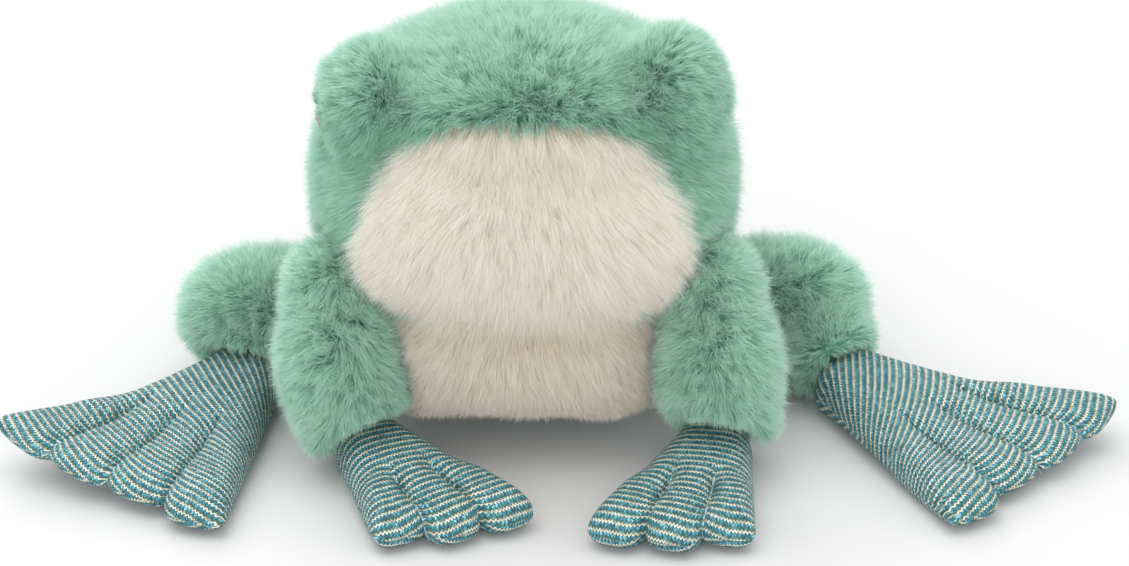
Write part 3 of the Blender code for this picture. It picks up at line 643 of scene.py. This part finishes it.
def green_trim(points):
    """Short under the belly's edge, where the body meets the floor."""
    under = step_up(0.030 - points[:, 2], 0.0, 0.012) * step_up(-points[:, 1], -0.02, 0.02)
    inside = step_up(0.058 - np.abs(flat_x(points)), 0.0, 0.010)
    return 1 - 0.65 * under * inside


def cream_trim(points):
    """The belly's pile is shorter towards its lower seam, the chest's is longest at its sides."""
    sideways = step_up(np.abs(flat_x(points)), 0.036, 0.052)
    wisps = 0.15 * sideways * step_up(points[:, 2], 0.055, 0.075)
    return 0.45 + 0.55 * step_up(points[:, 2], 0.020, 0.062) + wisps


def green_painted_shading(points, normals):
    """Painted light and shade: lighter where the pile faces up, darker in painted shade under the
    brow.
    """
    up = 0.36 + 0.42 * normals[:, 2]
    brow = np.exp(-((points[:, 2] - 0.128) / 0.014) ** 2) * step_up(-points[:, 1], 0.02, 0.05)
    return up - 0.16 * brow * (np.abs(flat_x(points)) < 0.05)


def limb_painted_light(points, normals):
    """Painted light: lighter where the pile faces up."""
    return 0.72 + 0.26 * normals[:, 2]


def cream_painted_shading(points, normals):
    """Painted light and shade: lighter where the pile faces up and on the chest, with painted
    shadow on the belly below it and painted shade in the fold between them.
    """
    fold = np.exp(-(((points[:, 2] - FOLD_Z + 0.004) / 0.006) ** 2))
    return 0.46 + 0.12 * normals[:, 2] + 0.40 * step_up(points[:, 2], 0.055, 0.080) - 0.30 * fold


# Colours of dark and light strands from root to tip; painted light and shade, along with random
# tone, move each strand between them
GREEN_DARK = [(0.0, (0.100, 0.320, 0.235)), (0.40, (0.220, 0.500, 0.385)),
              (0.78, (0.365, 0.660, 0.525)), (1.0, (0.520, 0.780, 0.660))]
GREEN_LIGHT = [(0.0, (0.230, 0.510, 0.395)), (0.40, (0.450, 0.730, 0.610)),
               (0.78, (0.670, 0.875, 0.775)), (1.0, (0.840, 0.940, 0.885))]
CREAM_DARK = [(0.0, (0.700, 0.610, 0.500)), (0.40, (0.820, 0.745, 0.640)),
              (0.78, (0.885, 0.830, 0.745)), (1.0, (0.920, 0.875, 0.800))]
CREAM_LIGHT = [(0.0, (0.900, 0.835, 0.740)), (0.40, (0.950, 0.910, 0.840)),
               (0.78, (0.975, 0.950, 0.905)), (1.0, (0.985, 0.970, 0.940))]

GREEN_PILE = pile_material("green_pile_strands", GREEN_DARK, GREEN_LIGHT, 0.25, 0.45)
CREAM_PILE = pile_material("cream_pile_strands", CREAM_DARK, CREAM_LIGHT, 0.15, 0.55)
GREEN_BACKING = backing_material("green_backing", (0.130, 0.380, 0.270), (0.085, 0.280, 0.195))
CREAM_BACKING = backing_material("cream_backing", (0.760, 0.680, 0.590), (0.640, 0.550, 0.460))
KNIT = knit_material("striped_metallic_knit")
THREAD = thread_material("teal_thread")

GREEN_LOOK = {
    "length": 0.0106, "depth": GREEN_DEPTH, "width": 0.00018, "lift": 0.75, "sag": 0.10,
    "tousle": 0.26, "drift": 0.55, "stray": 0.30, "pull": 0.22, "clump": 10,
    "shade": green_painted_shading, "trim": green_trim,
}
CREAM_LOOK = {
    "length": 0.0145, "depth": CREAM_DEPTH, "width": 0.00018, "lift": 0.42, "sag": 0.12,
    "tousle": 0.16, "drift": 0.62, "stray": 0.26, "pull": 0.12, "clump": 12,
    "shade": cream_painted_shading, "trim": cream_trim,
}
LIMB_LOOK = dict(GREEN_LOOK, length=0.0100, lift=0.85, tousle=0.34, stray=0.38, shade=limb_painted_light)
MOUND_LOOK = dict(GREEN_LOOK, length=0.0090)
LIMB_STRANDS = 64000


def make_torso():
    """Head, mounds, body and cream panels: one skin, cut into a piece for each."""
    def depth(points):
        front = step_up(-points[:, 1], 0.02, 0.045)
        inside = step_up(0.055 - np.abs(flat_x(points)), 0.0, 0.012)
        low = step_up(0.140 - points[:, 2], 0.0, 0.012)
        return GREEN_DEPTH + (CREAM_DEPTH - GREEN_DEPTH) * front * inside * low

    def soften(verts, edges):
        """Soft throat fold, round dome, pointed seam, wide belly and a higher right mound."""
        middle = step_up(0.060 - np.abs(flat_x(verts)), 0.0, 0.015)
        front = step_up(-verts[:, 1], 0.0, 0.02) * middle
        fold = np.exp(-(((verts[:, 2] - FOLD_Z) / 0.014) ** 2)) * front
        calm = smoothed(verts, edges, 60)
        verts = verts + 0.6 * fold[:, None] * (calm - verts)
        x = flat_x(verts)
        shoulder = np.exp(-(((np.abs(x) - 0.040) / 0.0085) ** 2))
        shoulder *= step_up(verts[:, 2], 0.138, 0.150)
        verts[:, 2] -= shoulder * np.where(x < 0, DOME_CORNER_DIP["left"], DOME_CORNER_DIP["right"])
        point = np.exp(-(((x - SEAM_POINT_X) / 0.0055) ** 2))
        point *= (1 - step_up(verts[:, 2], 0.010, 0.026)) * step_up(-verts[:, 1], 0.03, 0.045)
        verts[:, 2] -= SEAM_POINT_DROP * point
        low = (1 - step_up(verts[:, 2], 0.014, 0.045)) * step_up(-verts[:, 1], 0.015, 0.040)
        wide = step_up(np.abs(x), 0.012, 0.038) * low
        verts[:, 0] += np.sign(x) * BELLY_OUT * wide
        verts[:, 2] -= BELLY_DOWN * wide * step_up(verts[:, 2], 0.008, 0.020)
        for name, rise in MOUND_RISE.items():
            low, high = (np.array(corner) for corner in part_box(f"eye_mound_{name}"))
            off = (verts - (low + high) / 2) / (high - low) * 2
            near = 1 - step_up(np.linalg.norm(off, axis=1), 0.6, 1.5)
            verts[:, 2] += rise * near * step_up(off[:, 2], -0.2, 0.8)
        return verts

    bare = [(EYE_CENTRE[name], *short) for name, short in SHORT_ROUND_EYE.items()]
    limbs = [f"{limb}_{name}" for name in SIDES for limb in ("arm", "leg")]
    skin = Skin(TORSO_NODES, limbs, depth, bare, soften=soften)
    centres = skin.outer[skin.tris].mean(axis=1)
    reach = np.stack([distances(centres, tree_of([name])) for name in TORSO_NODES])
    for name, offset in (("throat_panel", 0), ("belly_panel", 9)):
        ragged = [wander(Vector(p) * RAGGED_SCALE + Vector((offset, 0, 0))) for p in centres]
        reach[TORSO_NODES.index(name)] += RAGGED_REACH * np.array(ragged)
    sideways = step_up(np.abs(flat_x(centres)), 0.030, 0.050)
    reach[TORSO_NODES.index("throat_panel")] += THROAT_NARROWER * sideways
    label = reach.argmin(axis=0)
    eye_away = [np.linalg.norm(centres - EYE_CENTRE[name], axis=1) for name in SIDES]
    growing = np.min(eye_away, axis=0) > EYE_CLEAR
    for index, name in enumerate(TORSO_NODES):
        cream = name.endswith("panel")
        backing = CREAM_BACKING if cream else GREEN_BACKING
        piece = skin_piece(f"{name}_cloth", skin, label == index, backing)
        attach(piece, "torso")
        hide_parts(name)
    front = centres[:, 1] < (HEAD_LOW[1] + HEAD_HIGH[1]) / 2
    high = centres[:, 2] > CHEST_TOP_Z
    upper = centres[:, 2] > RUMP_TOP_Z
    left = centres[:, 0] < MIDDLE_X
    body, head, throat, belly, mound_left, mound_right = (label == k for k in range(6))
    fields = [
        ("head_pile_front_left", head & front & left, 66000, GREEN_LOOK),
        ("head_pile_front_right", head & front & ~left, 66000, GREEN_LOOK),
        ("head_pile_back_left", head & ~front & left, 48000, GREEN_LOOK),
        ("head_pile_back_right", head & ~front & ~left, 48000, GREEN_LOOK),
        ("body_pile_left", body & left & upper, 31000, GREEN_LOOK),
        ("body_pile_right", body & ~left & upper, 31000, GREEN_LOOK),
        ("rump_pile_left", body & left & ~upper, 66000, GREEN_LOOK),
        ("rump_pile_right", body & ~left & ~upper, 66000, GREEN_LOOK),
        ("mound_pile_left", mound_left, 34000, MOUND_LOOK),
        ("mound_pile_right", mound_right, 36000, MOUND_LOOK),
        ("throat_pile_left", throat & left & high, 38000, CREAM_LOOK),
        ("throat_pile_right", throat & ~left & high, 38000, CREAM_LOOK),
        ("chest_pile_left", throat & left & ~high, 42000, CREAM_LOOK),
        ("chest_pile_right", throat & ~left & ~high, 42000, CREAM_LOOK),
        ("belly_pile", belly, 66000, CREAM_LOOK),
    ]
    for seed, (name, chosen, count, look) in enumerate(fields):
        cream = look is CREAM_LOOK
        pile = grow_pile(
            name, "torso", skin, chosen & growing, count, look,
            cream_comb if cream else green_comb, CREAM_PILE if cream else GREEN_PILE, 100 + seed,
        )


def make_limb(kind, tip, name, side, seed):
    """A fur sleeve or a folded thigh, bare only where the knit comes out of it."""
    node = f"{kind}_{name}"
    low, high = (np.array(corner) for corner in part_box(f"{tip}_{name}"))
    knit = tree_of([f"{tip}_{name}"])

    def depth(points):
        near = distances(points, knit)
        return LIMB_DEPTH * (0.30 + 0.70 * step_up(near, 0.003, 0.016))

    others = [n for n in NODES if n not in (node, f"{tip}_{name}") and not n.startswith("eye")]
    joint = "wrist" if kind == "arm" else "ankle"
    back = unit(joint_place(f"{joint}_{name}") - (low + high) / 2) + np.array([0, 0, 0.35])

    def drawn_back(verts, edges):
        near = 1 - step_up(distances(verts, knit), 0.0, 0.018)
        return verts + back * near[:, None] * CUFF_BACK[kind]

    skin = Skin([node], others + [f"{tip}_{name}"], depth, [], relax=5, soften=drawn_back, even=14)
    everything = np.ones(len(skin.tris), bool)
    piece = skin_piece(f"{node}_cloth", skin, everything, GREEN_BACKING)
    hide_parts(node)
    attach(piece, node)
    pile = grow_pile(
        f"{kind}_pile_{name}", node, skin, everything, LIMB_STRANDS, LIMB_LOOK,
        limb_comb(kind, side), GREEN_PILE, seed,
    )


# The outlines of the knit hands and feet repeat those of the solids: lengths in metres, angles in
# degrees, and for each finger or toe its share of the length, with those of the webs between them
HAND = {
    "spread": {"left": 30, "right": 30}, "length": 0.066, "root": 0.028, "thick": 0.020,
    "tip": 0.0165, "channel": 0.46, "lift": {"left": 0, "right": 0},
    "yaw": {"left": -31, "right": -16},
    "shares": [0.74, 0.83, 0.80, 0.95, 0.84, 1.00, 0.88], "rounded": 0.0115, "grain": 6,
    "own": 0.75, "course": 0.00112,
}
FOOT = {
    "spread": {"left": 44, "right": 46}, "length": 0.092, "root": 0.031, "thick": 0.022,
    "tip": 0.0145, "channel": 0.54, "lift": {"left": 0.0145, "right": 0.0075},
    "yaw": {"left": 30, "right": 48},
    "shares": [0.95, 0.98, 0.92, 0.95, 0.89, 0.935, 0.875, 1.00, 0.96], "rounded": 0.0115,
    "grain": 40, "own": 0.5, "course": 0.00088,
}
WALE = 0.00122
SEAM_SHARE = 0.38
COLUMNS = 14
ROWS = 96
CAP_ROWS = 8
PUCKER_EVERY = 0.0042
UNDERSIDE_SHIFT = 1.4

# Topstitches: how far apart, how long, how high on the cloth and how thick
STITCH_EVERY = 0.0023
STITCH_LENGTH = 0.0018
STITCH_RISE = 0.00045
STITCH_ARCH = 0.00040
STITCH_RADIUS = 0.00048
LOOSE_ENDS = 3


def joint_place(name):
    for joint in frame["joints"]:
        if joint["name"] == name:
            return np.array(joint["pos_m"], float)
    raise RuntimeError(f"no place for joint {name}")


def compass(side, yaw_deg):
    """Level direction at an angle from straight forward, outwards on either side."""
    angle = np.radians(yaw_deg)
    return np.stack([side * np.sin(angle), -np.cos(angle)], axis=-1)


def digit_surface(spec, name, side, pivot, along, index):
    """Place, top and underside at along, 0 to 1 from the root, and index, 0 to the last share."""
    shares = np.array(spec["shares"])
    last = len(shares) - 1
    digit = np.minimum((index / 2).astype(int), last // 2 - 1)
    x = index / 2 - digit
    pillow = np.sqrt(np.maximum(1 - np.abs(2 * x - 1) ** 3.2, 0))
    edge = np.where(x < 0.5, shares[2 * digit], shares[np.minimum(2 * digit + 2, last)])
    share = edge + (shares[2 * digit + 1] - edge) * pillow
    outermost = ((digit == 0) & (x < 0.5)) | ((digit == last // 2 - 1) & (x >= 0.5))
    turn = 1 - 2 * index / last
    yaw = spec["yaw"][name]
    heading = compass(side, yaw + turn * spec["spread"][name] / 2)
    inside = np.clip(along, 0, 1)
    reach = 1 - (1 - inside) ** 1.15
    cap = np.clip(-along, 0, 1)
    narrow = np.sqrt(np.maximum(1 - cap**2, 0))
    flat = pivot[:2] + compass(side, yaw + 90) * (spec["root"] / 2 * turn * narrow)[..., None]
    flat = flat + heading * (spec["length"] * share * reach)[..., None]
    flat = flat - compass(side, yaw) * (spec["rounded"] * cap)[..., None]
    pad = np.sqrt(np.maximum(1 - np.abs(turn) ** 3.6, 0))
    toe = np.where(outermost, pillow, 1 - spec["channel"] * (1 - pillow))
    sewn = step_up(inside, 0.34, 0.60)
    profile = pad + (toe - pad) * sewn
    swell = np.sqrt(np.maximum(1 - inside**8, 0.0)) * narrow
    from_channel = np.minimum(x, 1 - x)
    pucker = np.exp(-((from_channel / 0.18) ** 2)) * sewn * ~outermost
    phase = inside * spec["length"] / PUCKER_EVERY * 2 * math.pi + digit * 1.7
    profile = profile * (1 - 0.10 * pucker * (1 + np.sin(phase)) / 2)
    dimple = np.exp(-(((inside - 0.46) / 0.09) ** 2) - (from_channel / 0.24) ** 2) * ~outermost
    profile = profile * (1 - 0.10 * dimple)
    high = spec["thick"] + (spec["tip"] - spec["thick"]) * np.minimum(inside * 1.6, 1)
    seam = SEAM_SHARE * high + spec["lift"][name] * inside**2 * (0.5 + turn / 2) ** 2
    thick = high * swell * profile
    return flat, seam + (1 - SEAM_SHARE) * thick, seam - SEAM_SHARE * thick, turn


def cloth_map(spec, name, side, pivot, sheet, along, turn):
    """Each point's place in the flat knit that the sheet is cut from, in wales and in courses."""
    yaw = spec["yaw"][name]
    run = np.linalg.norm(np.diff(sheet, axis=0), axis=2)
    arc = np.concatenate([np.zeros((1, sheet.shape[1])), np.cumsum(run, axis=0)])
    arc -= arc[CAP_ROWS]
    steep = np.linalg.norm(np.diff(sheet, axis=1), axis=2)
    level = np.linalg.norm(np.diff(sheet[..., :2], axis=1), axis=2)
    extra = np.concatenate([np.zeros((len(sheet), 1)), np.cumsum(steep - level, axis=1)], axis=1)
    extra = extra[:, extra.shape[1] // 2][:, None] - extra
    fan = turn * spec["spread"][name] / 2
    heading = compass(side, yaw + fan)
    place = sheet[CAP_ROWS, :, :2][None] - pivot[:2] + heading * arc[..., None]
    place = place + compass(side, yaw + 90) * extra[..., None]
    own = spec["own"] * step_up(along, 0.05, 0.80)
    middles = np.arange(1, len(spec["shares"]), 2)
    total = arc[-1]
    longest = np.interp(np.arange(len(total)) / COLUMNS, middles, total[middles * COLUMNS])
    gather = (longest / np.maximum(total, 0.001) - 1) * step_up(along, 0.35, 1.0)
    v = (1 - own) * (place @ compass(side, yaw + spec["grain"])) + own * arc + 0.75 * gather * arc
    u = (1 - own) * (place @ compass(side, yaw + spec["grain"] + 90))
    u += own * (spec["root"] / 2 * turn + extra + arc * np.radians(fan))
    return np.stack([u / WALE, v / spec["course"]], axis=-1)


def make_digits(kind, spec, joint, name, side):
    pivot = joint_place(f"{joint}_{name}")
    last = len(spec["shares"]) - 1
    width = last * COLUMNS + 1
    spacing = np.sin(np.linspace(0, math.pi / 2, ROWS)) ** 0.85
    cap = -np.cos(np.linspace(0, math.pi / 2, CAP_ROWS, endpoint=False))
    along, index = np.meshgrid(
        np.concatenate([cap * 0.995, spacing]), np.linspace(0, last, width), indexing="ij"
    )
    flat, high, low, turn = digit_surface(spec, name, side, pivot, along, index)
    low = np.maximum(low, FLOOR_CLEAR)
    high = np.maximum(high, low + 0.0002 * (np.abs(turn) < 0.999))
    sheets = [np.concatenate([flat, z[..., None]], axis=-1) for z in (high, low)]
    maps = [cloth_map(spec, name, side, pivot, sheet, along, turn) for sheet in sheets]
    maps[1][..., 1] += UNDERSIDE_SHIFT
    ring = np.concatenate([sheets[0], sheets[1][:, -2:0:-1]], axis=1)
    rows, count = ring.shape[:2]
    i, j = np.meshgrid(np.arange(rows - 1), np.arange(count), indexing="ij")
    k = (j + 1) % count
    quads = np.stack([i * count + j, i * count + k, (i + 1) * count + k, (i + 1) * count + j], -1)
    faces = [list(map(int, quad)) for quad in quads.reshape(-1, 4)]
    under = list((j >= width - 1).ravel())
    for row in (0, rows - 1):
        for m in range(width - 1):
            corners = [m, m + 1, count - m - 1, (count - m) % count]
            faces.append([row * count + corner for corner in dict.fromkeys(corners)])
            under.append(False)
    sizes = np.array([len(face) for face in faces])
    loops = np.array([corner for face in faces for corner in face])
    mesh = mesh_of(f"{kind}_{name}_knit", ring.reshape(-1, 3), loops, sizes)
    below = np.repeat(np.array(under, int), sizes)
    row, column = loops // count, loops % count
    column = np.where(column < width, column, count - column)
    knit_uv = np.stack(maps)[below, row, column]
    bake_uv = np.stack([(column / (width - 1) + below) / 2, row / (rows - 1)], axis=1)
    add_uv(mesh, "knit", knit_uv)
    add_uv(mesh, "OFBake", bake_uv)
    obj = shown(f"{kind}_{name}_knit", mesh, KNIT)
    bm = bmesh.new()
    bm.from_mesh(mesh)
    bmesh.ops.recalc_face_normals(bm, faces=bm.faces)
    bm.to_mesh(mesh)
    bm.free()
    mesh.shade_smooth()
    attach(obj, f"{kind}_{name}")
    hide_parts(f"{kind}_{name}")
    make_threads(kind, spec, name, side, pivot)


def tube(points, radii, sides):
    """Verts and faces of a tube through points, closed at both ends by its own last rings."""
    points = np.asarray(points)
    ahead = unit(np.gradient(points, axis=0))
    across = unit(np.cross(ahead, np.array([0.01, 0.02, 1.0])))
    up = np.cross(across, ahead)
    turn = 2 * math.pi * np.arange(sides) / sides
    ring = across[:, None] * np.cos(turn)[None, :, None] + up[:, None] * np.sin(turn)[None, :, None]
    verts = points[:, None] + ring * np.asarray(radii)[:, None, None]
    faces = []
    for row in range(len(points) - 1):
        for s in range(sides):
            n = (s + 1) % sides
            here, there = row * sides, (row + 1) * sides
            faces.append([here + s, here + n, there + n, there + s])
    faces.append(list(range(sides))[::-1])
    faces.append([(len(points) - 1) * sides + s for s in range(sides)])
    return verts.reshape(-1, 3), faces


def make_threads(kind, spec, name, side, pivot):
    """Topstitches along each sewn channel and loose thread ends where it leaves the edge."""
    rng = np.random.default_rng(40 + side + len(spec["shares"]))
    last = len(spec["shares"]) - 1
    verts, faces = [], []

    def add(points, radii, sides):
        start = sum(map(len, verts))
        tube_verts, tube_faces = tube(points, radii, sides)
        verts.append(tube_verts)
        faces.extend([corner + start for corner in face] for face in tube_faces)

    for channel in range(2, last, 2):
        t = np.linspace(0.46, 0.985, 160)
        index = np.full_like(t, float(channel))
        flat, high, _, _ = digit_surface(spec, name, side, pivot, t, index)
        line = np.concatenate([flat, high[:, None]], axis=1)
        run = np.concatenate([[0], np.cumsum(np.linalg.norm(np.diff(line, axis=0), axis=1))])
        place = 0.0004
        while place + STITCH_LENGTH + 0.0001 < run[-1]:
            marks = np.linspace(place, place + STITCH_LENGTH, 6)
            stitch = np.stack([np.interp(marks, run, line[:, k]) for k in range(3)], axis=1)
            arch = np.sin(np.linspace(0, math.pi, 6))
            stitch[:, :2] += rng.normal(0, 0.00018, 2)
            stitch[:, 2] += STITCH_RISE + STITCH_ARCH * arch
            add(stitch, STITCH_RADIUS * (0.45 + 0.55 * arch), 6)
            place += STITCH_EVERY
        for _ in range(LOOSE_ENDS):
            tip = line[-1] + np.array([0, 0, -0.0004])
            out = unit(line[-1] - line[-12]) + rng.normal(0, 0.5, 3) * np.array([1, 1, 0.3])
            drop = np.array([0, 0, -1.0])
            s = np.linspace(0, 1, 6)[:, None]
            length = rng.uniform(0.0025, 0.0050)
            loose = tip + unit(out) * s * length + drop * s * s * length * rng.uniform(0.1, 0.6)
            loose[:, 2] = np.maximum(loose[:, 2], 0.0003)
            add(loose, np.linspace(0.00013, 0.00006, 6), 4)
    sizes = np.array([len(face) for face in faces])
    loops = np.array([corner for face in faces for corner in face])
    mesh = mesh_of(f"{kind}_{name}_thread", np.concatenate(verts), loops, sizes)
    obj = shown(f"{kind}_{name}_thread", mesh, THREAD)
    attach(obj, f"{kind}_{name}")


CAMERA_AIM = Vector((MIDDLE_X + 0.0145, joint_place("shoulder_left")[1] + 0.0330, 0.0507))
CAMERA_ELEVATION = math.radians(26)
CAMERA_DISTANCE = 1.35
FRAME_WIDTH = 0.4064
SENSOR_WIDTH_MM = 36


def make_camera():
    data = bpy.data.cameras.new("camera")
    data.sensor_width = SENSOR_WIDTH_MM
    data.lens = SENSOR_WIDTH_MM * CAMERA_DISTANCE / FRAME_WIDTH
    camera = bpy.data.objects.new("camera", data)
    bpy.context.scene.collection.objects.link(camera)
    back = Vector((0, -math.cos(CAMERA_ELEVATION), math.sin(CAMERA_ELEVATION)))
    camera.location = CAMERA_AIM + back * CAMERA_DISTANCE
    camera.rotation_euler = (math.pi / 2 - CAMERA_ELEVATION, 0, 0)
    bpy.context.scene.camera = camera


def area_light(name, place, aim, size, power):
    data = bpy.data.lights.new(name, "AREA")
    data.shape = "DISK"
    data.size = size
    data.energy = power
    light = bpy.data.objects.new(name, data)
    bpy.context.scene.collection.objects.link(light)
    light.location = place
    light.rotation_euler = (Vector(aim) - Vector(place)).to_track_quat("-Z", "Y").to_euler()


def make_stage():
    material, nodes, links = new_material("pale_floor")
    shader = nodes["Principled BSDF"]
    cloud = noise(nodes, links, 3.0, 2.0)
    links.new(mixed(nodes, links, cloud, (0.65, 0.65, 0.652), (0.66, 0.66, 0.661)),
              shader.inputs["Base Color"])
    shader.inputs["Roughness"].default_value = 0.85
    shader.inputs["Specular IOR Level"].default_value = 0.2
    bm = bmesh.new()
    bmesh.ops.create_grid(bm, x_segments=12, y_segments=12, size=4.0)
    mesh = bpy.data.meshes.new("floor")
    bm.to_mesh(mesh)
    bm.free()
    floor = shown("floor", mesh, material)
    world = bpy.data.worlds.new("world")
    world.use_nodes = True
    sky = world.node_tree.nodes["Background"]
    sky.inputs["Color"].default_value = (1, 1, 1, 1)
    sky.inputs["Strength"].default_value = 1.17
    bpy.context.scene.world = world
    area_light("top", (-0.35, -0.10, 1.5), (0, 0, 0.05), 1.6, 7)
    area_light("front", (-0.1, -1.8, 0.6), (0, 0, 0.04), 1.2, 10)
    area_light("back", (-0.5, 1.2, 1.0), (0, 0, 0.08), 1.0, 6)


def make_eye(name):
    """The CAD's own button and washer, each with its plastic."""
    plastic = eye_material(f"eye_plastic_{name}", EYE_CENTRE[name], EYE_OUT[name])
    washer_plastic = washer_material(f"washer_plastic_{name}")
    for node, material in ((f"eye_{name}", plastic), (f"eye_washer_{name}", washer_plastic)):
        NODES[node].data.materials.clear()
        NODES[node].data.materials.append(material)


make_camera()
make_torso()
for number, (name, side) in enumerate(SIDES.items()):
    make_limb("arm", "hand", name, side, 300 + number)
    make_limb("leg", "foot", name, side, 310 + number)
    make_digits("hand", HAND, "wrist", name, side)
    make_digits("foot", FOOT, "ankle", name, side)
    make_eye(name)
make_stage()
bpy.context.scene.view_settings.view_transform = "Standard"
